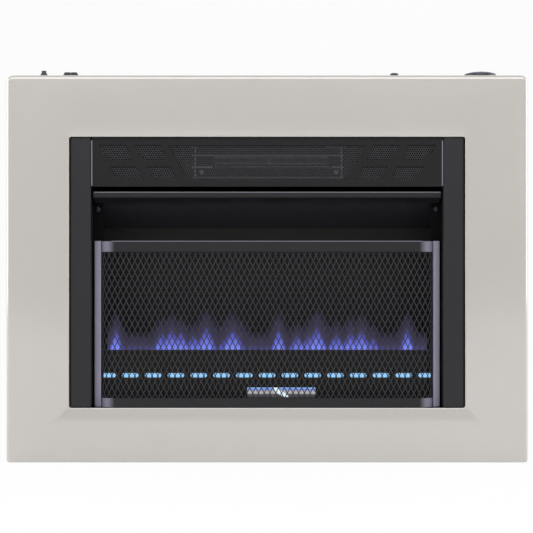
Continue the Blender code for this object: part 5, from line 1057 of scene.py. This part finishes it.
class HEATER_OT_lamp(bpy.types.Operator):
    """Turns the lamp: a waisted dark bezel with a white glazed lens in its end, a painted highlight for a
    clear lens.
    """
    bl_idname = "heater.lamp"
    bl_label = "Lamp"

    def execute(self, context):
        low, high = span("indicator_lamp")
        middle = (low + high) / 2
        seat = span("casing")[1].z + 0.3 * MM - high.z
        foot = low.z - high.z
        bore, barrel, flange = 1.9 * MM, 4.8 * MM, (high.x - low.x) / 2
        place = (middle.x, middle.y, high.z)
        waist = [(2.3, 0), (3.3, -0.1), (3.5, -0.6), (3.2, -2.0), (3.5, -3.2), (4.5, -4.6)]
        bezel = bmesh.new()
        turned(bezel, [(bore, -0.2 * MM), *((radius * MM, drop * MM) for radius, drop in waist),
                       (barrel, -5.6 * MM), (barrel, seat + 1.5 * MM), (flange, seat + 1.1 * MM),
                       (flange, seat), (barrel, seat), (barrel, foot), (bore, foot)], place)
        show("lamp_bezel", bezel, "black_plastic", replaces=["indicator_lamp"])
        lens = bmesh.new()
        rim, tail = 1.8 * MM, foot + 2 * MM
        turned(lens, [(0, 0), (0.9 * MM, -0.1 * MM), (1.5 * MM, -0.5 * MM), (rim, -1.2 * MM), (rim, tail),
                      (0, tail)], place, steps=32)
        # The lens's white glaze is a painted highlight standing for the light in a clear lens
        show("lamp_lens_highlight", lens, "ceramic")
        return {"FINISHED"}


class HEATER_OT_rocker_mark(bpy.types.Operator):
    """Inlays the light line across the middle of the fan switch's rocker."""
    bl_idname = "heater.rocker_mark"
    bl_label = "Rocker mark"

    def execute(self, context):
        low, high = span("fan_switch_rocker")
        middle, half = (low.x + high.x) / 2, 0.4 * MM
        block("rocker_mark", (middle - half, low.y - 0.15 * MM, high.z - 3.6 * MM),
              (middle + half, high.y + 0.15 * MM, high.z - 0.1 * MM), "ceramic", "grey_inlay", 0.2 * MM,
              "fan_switch_rocker")
        return {"FINISHED"}


class HEATER_OT_stage(bpy.types.Operator):
    """Sets up the pale studio, its lamps and the camera at the photograph's viewing angle."""
    bl_idname = "heater.stage"
    bl_label = "Studio"

    def execute(self, context):
        studio = context.scene.heater_studio
        self.backdrop(context)
        self.lamps(studio)
        self.camera(context, studio)
        context.scene.view_settings.view_transform = "Standard"
        return {"FINISHED"}

    def backdrop(self, context):
        floor_z = CAD_BOX[0][2] - 0.3 * MM
        half_width, front_y, wall_y, wall_top, bend, steps = 7.0, -6.0, 3.2, 6.0, 1.2, 12
        profile = [(front_y, floor_z)]
        for step in range(steps + 1):
            angle = step / steps * pi / 2
            profile.append((wall_y - bend + bend * sin(angle), floor_z + bend * (1 - cos(angle))))
        profile.append((wall_y, wall_top))
        bm = bmesh.new()
        folded(bm, [(-half_width, y, z) for y, z in profile], [(half_width, y, z) for y, z in profile])
        sweep = shaped("studio_sweep", bm)
        paper = Shader("studio paper")
        paper.set(Base_Color=(*context.scene.heater_colours.backdrop, 1), Roughness=0.9)
        path = paper.add("LightPath").outputs
        reflected = paper.math("MAXIMUM", path["Is Glossy Ray"], path["Is Transmission Ray"])
        seen = paper.math("MAXIMUM", path["Is Camera Ray"], reflected)
        white = paper.add("Emission", Color=(1, 1, 1, 1), Strength=1.0)
        mixed = paper.add("MixShader", Fac=paper.math("MULTIPLY", seen, 0.9))
        paper.put(mixed.inputs[1], paper.bsdf.outputs[0])
        paper.put(mixed.inputs[2], white.outputs[0])
        paper.put(paper.output.inputs["Surface"], mixed.outputs[0])
        sweep.data.materials.append(paper.material)

    def lamps(self, studio):
        world = bpy.data.worlds.new("studio")
        world.use_nodes = True
        bpy.context.scene.world = world
        background = world.node_tree.nodes["Background"]
        background.inputs["Color"].default_value = (1, 1, 1, 1)
        background.inputs["Strength"].default_value = studio.fill
        target = Vector((0, 0, 0.25))
        for name, place, width, depth, power in (("key_lamp", (0.0, -1.95, 1.95), 3.2, 1.7, studio.key),
                                                 ("left_lamp", (-2.4, -0.1, 0.9), 1.6, 1.6, studio.side),
                                                 ("right_lamp", (2.4, -0.1, 0.9), 1.6, 1.6, studio.side)):
            data = bpy.data.lights.new(name, "AREA")
            data.energy, data.shape, data.size, data.size_y = power, "RECTANGLE", width, depth
            lamp = bpy.data.objects.new(name, data)
            lamp.location = place
            lamp.rotation_euler = (target - Vector(place)).to_track_quat("-Z", "Y").to_euler()
            bpy.context.scene.collection.objects.link(lamp)

    def camera(self, context, studio):
        data = bpy.data.cameras.new("camera")
        data.sensor_width = 36.0
        data.lens = data.sensor_width * studio.distance / studio.view_width
        camera = bpy.data.objects.new("camera", data)
        camera.location = (studio.aside, CAD_BOX[0][1] - studio.distance, studio.height)
        camera.rotation_euler = (pi / 2, 0, 0)
        context.scene.collection.objects.link(camera)
        context.scene.camera = camera


class HEATER_PT_panel(bpy.types.Panel):
    """Lists the heater's pieces in the sidebar."""
    bl_idname = "HEATER_PT_panel"
    bl_label = "Gas Heater"
    bl_space_type = "VIEW_3D"
    bl_region_type = "UI"
    bl_category = "Gas Heater"

    def draw(self, context):
        for operator in OPERATORS:
            self.layout.operator(operator.bl_idname)
        for group, kind in GROUPS.items():
            for name in kind.__annotations__:
                self.layout.prop(getattr(context.scene, group), name)


OPERATORS = (
    HEATER_OT_carried_pieces, HEATER_OT_front_shell, HEATER_OT_guard_net, HEATER_OT_grille_screen,
    HEATER_OT_flames, HEATER_OT_pilot_light, HEATER_OT_shield_beads, HEATER_OT_blower_edges,
    HEATER_OT_duct_wall, HEATER_OT_strip_returns, HEATER_OT_hood_bead, HEATER_OT_grille_lip,
    HEATER_OT_guard_bead, HEATER_OT_screws, HEATER_OT_knob, HEATER_OT_springs, HEATER_OT_lamp,
    HEATER_OT_rocker_mark, HEATER_OT_stage,
)
GROUPS = {"heater_sizes": HeaterSizes, "heater_colours": HeaterColours, "heater_studio": HeaterStudio}
CLASSES = (*GROUPS.values(), *OPERATORS, HEATER_PT_panel)


def register():
    for item in CLASSES:
        bpy.utils.register_class(item)
    for name, group in GROUPS.items():
        setattr(bpy.types.Scene, name, PointerProperty(type=group))


def unregister():
    for name in GROUPS:
        delattr(bpy.types.Scene, name)
    for item in reversed(CLASSES):
        bpy.utils.unregister_class(item)


def main():
    register()
    paint_finishes()
    for operator in OPERATORS:
        getattr(bpy.ops.heater, operator.bl_idname.split(".")[1])()
    bpy.context.view_layer.update()


if __name__ == "__main__":
    main()
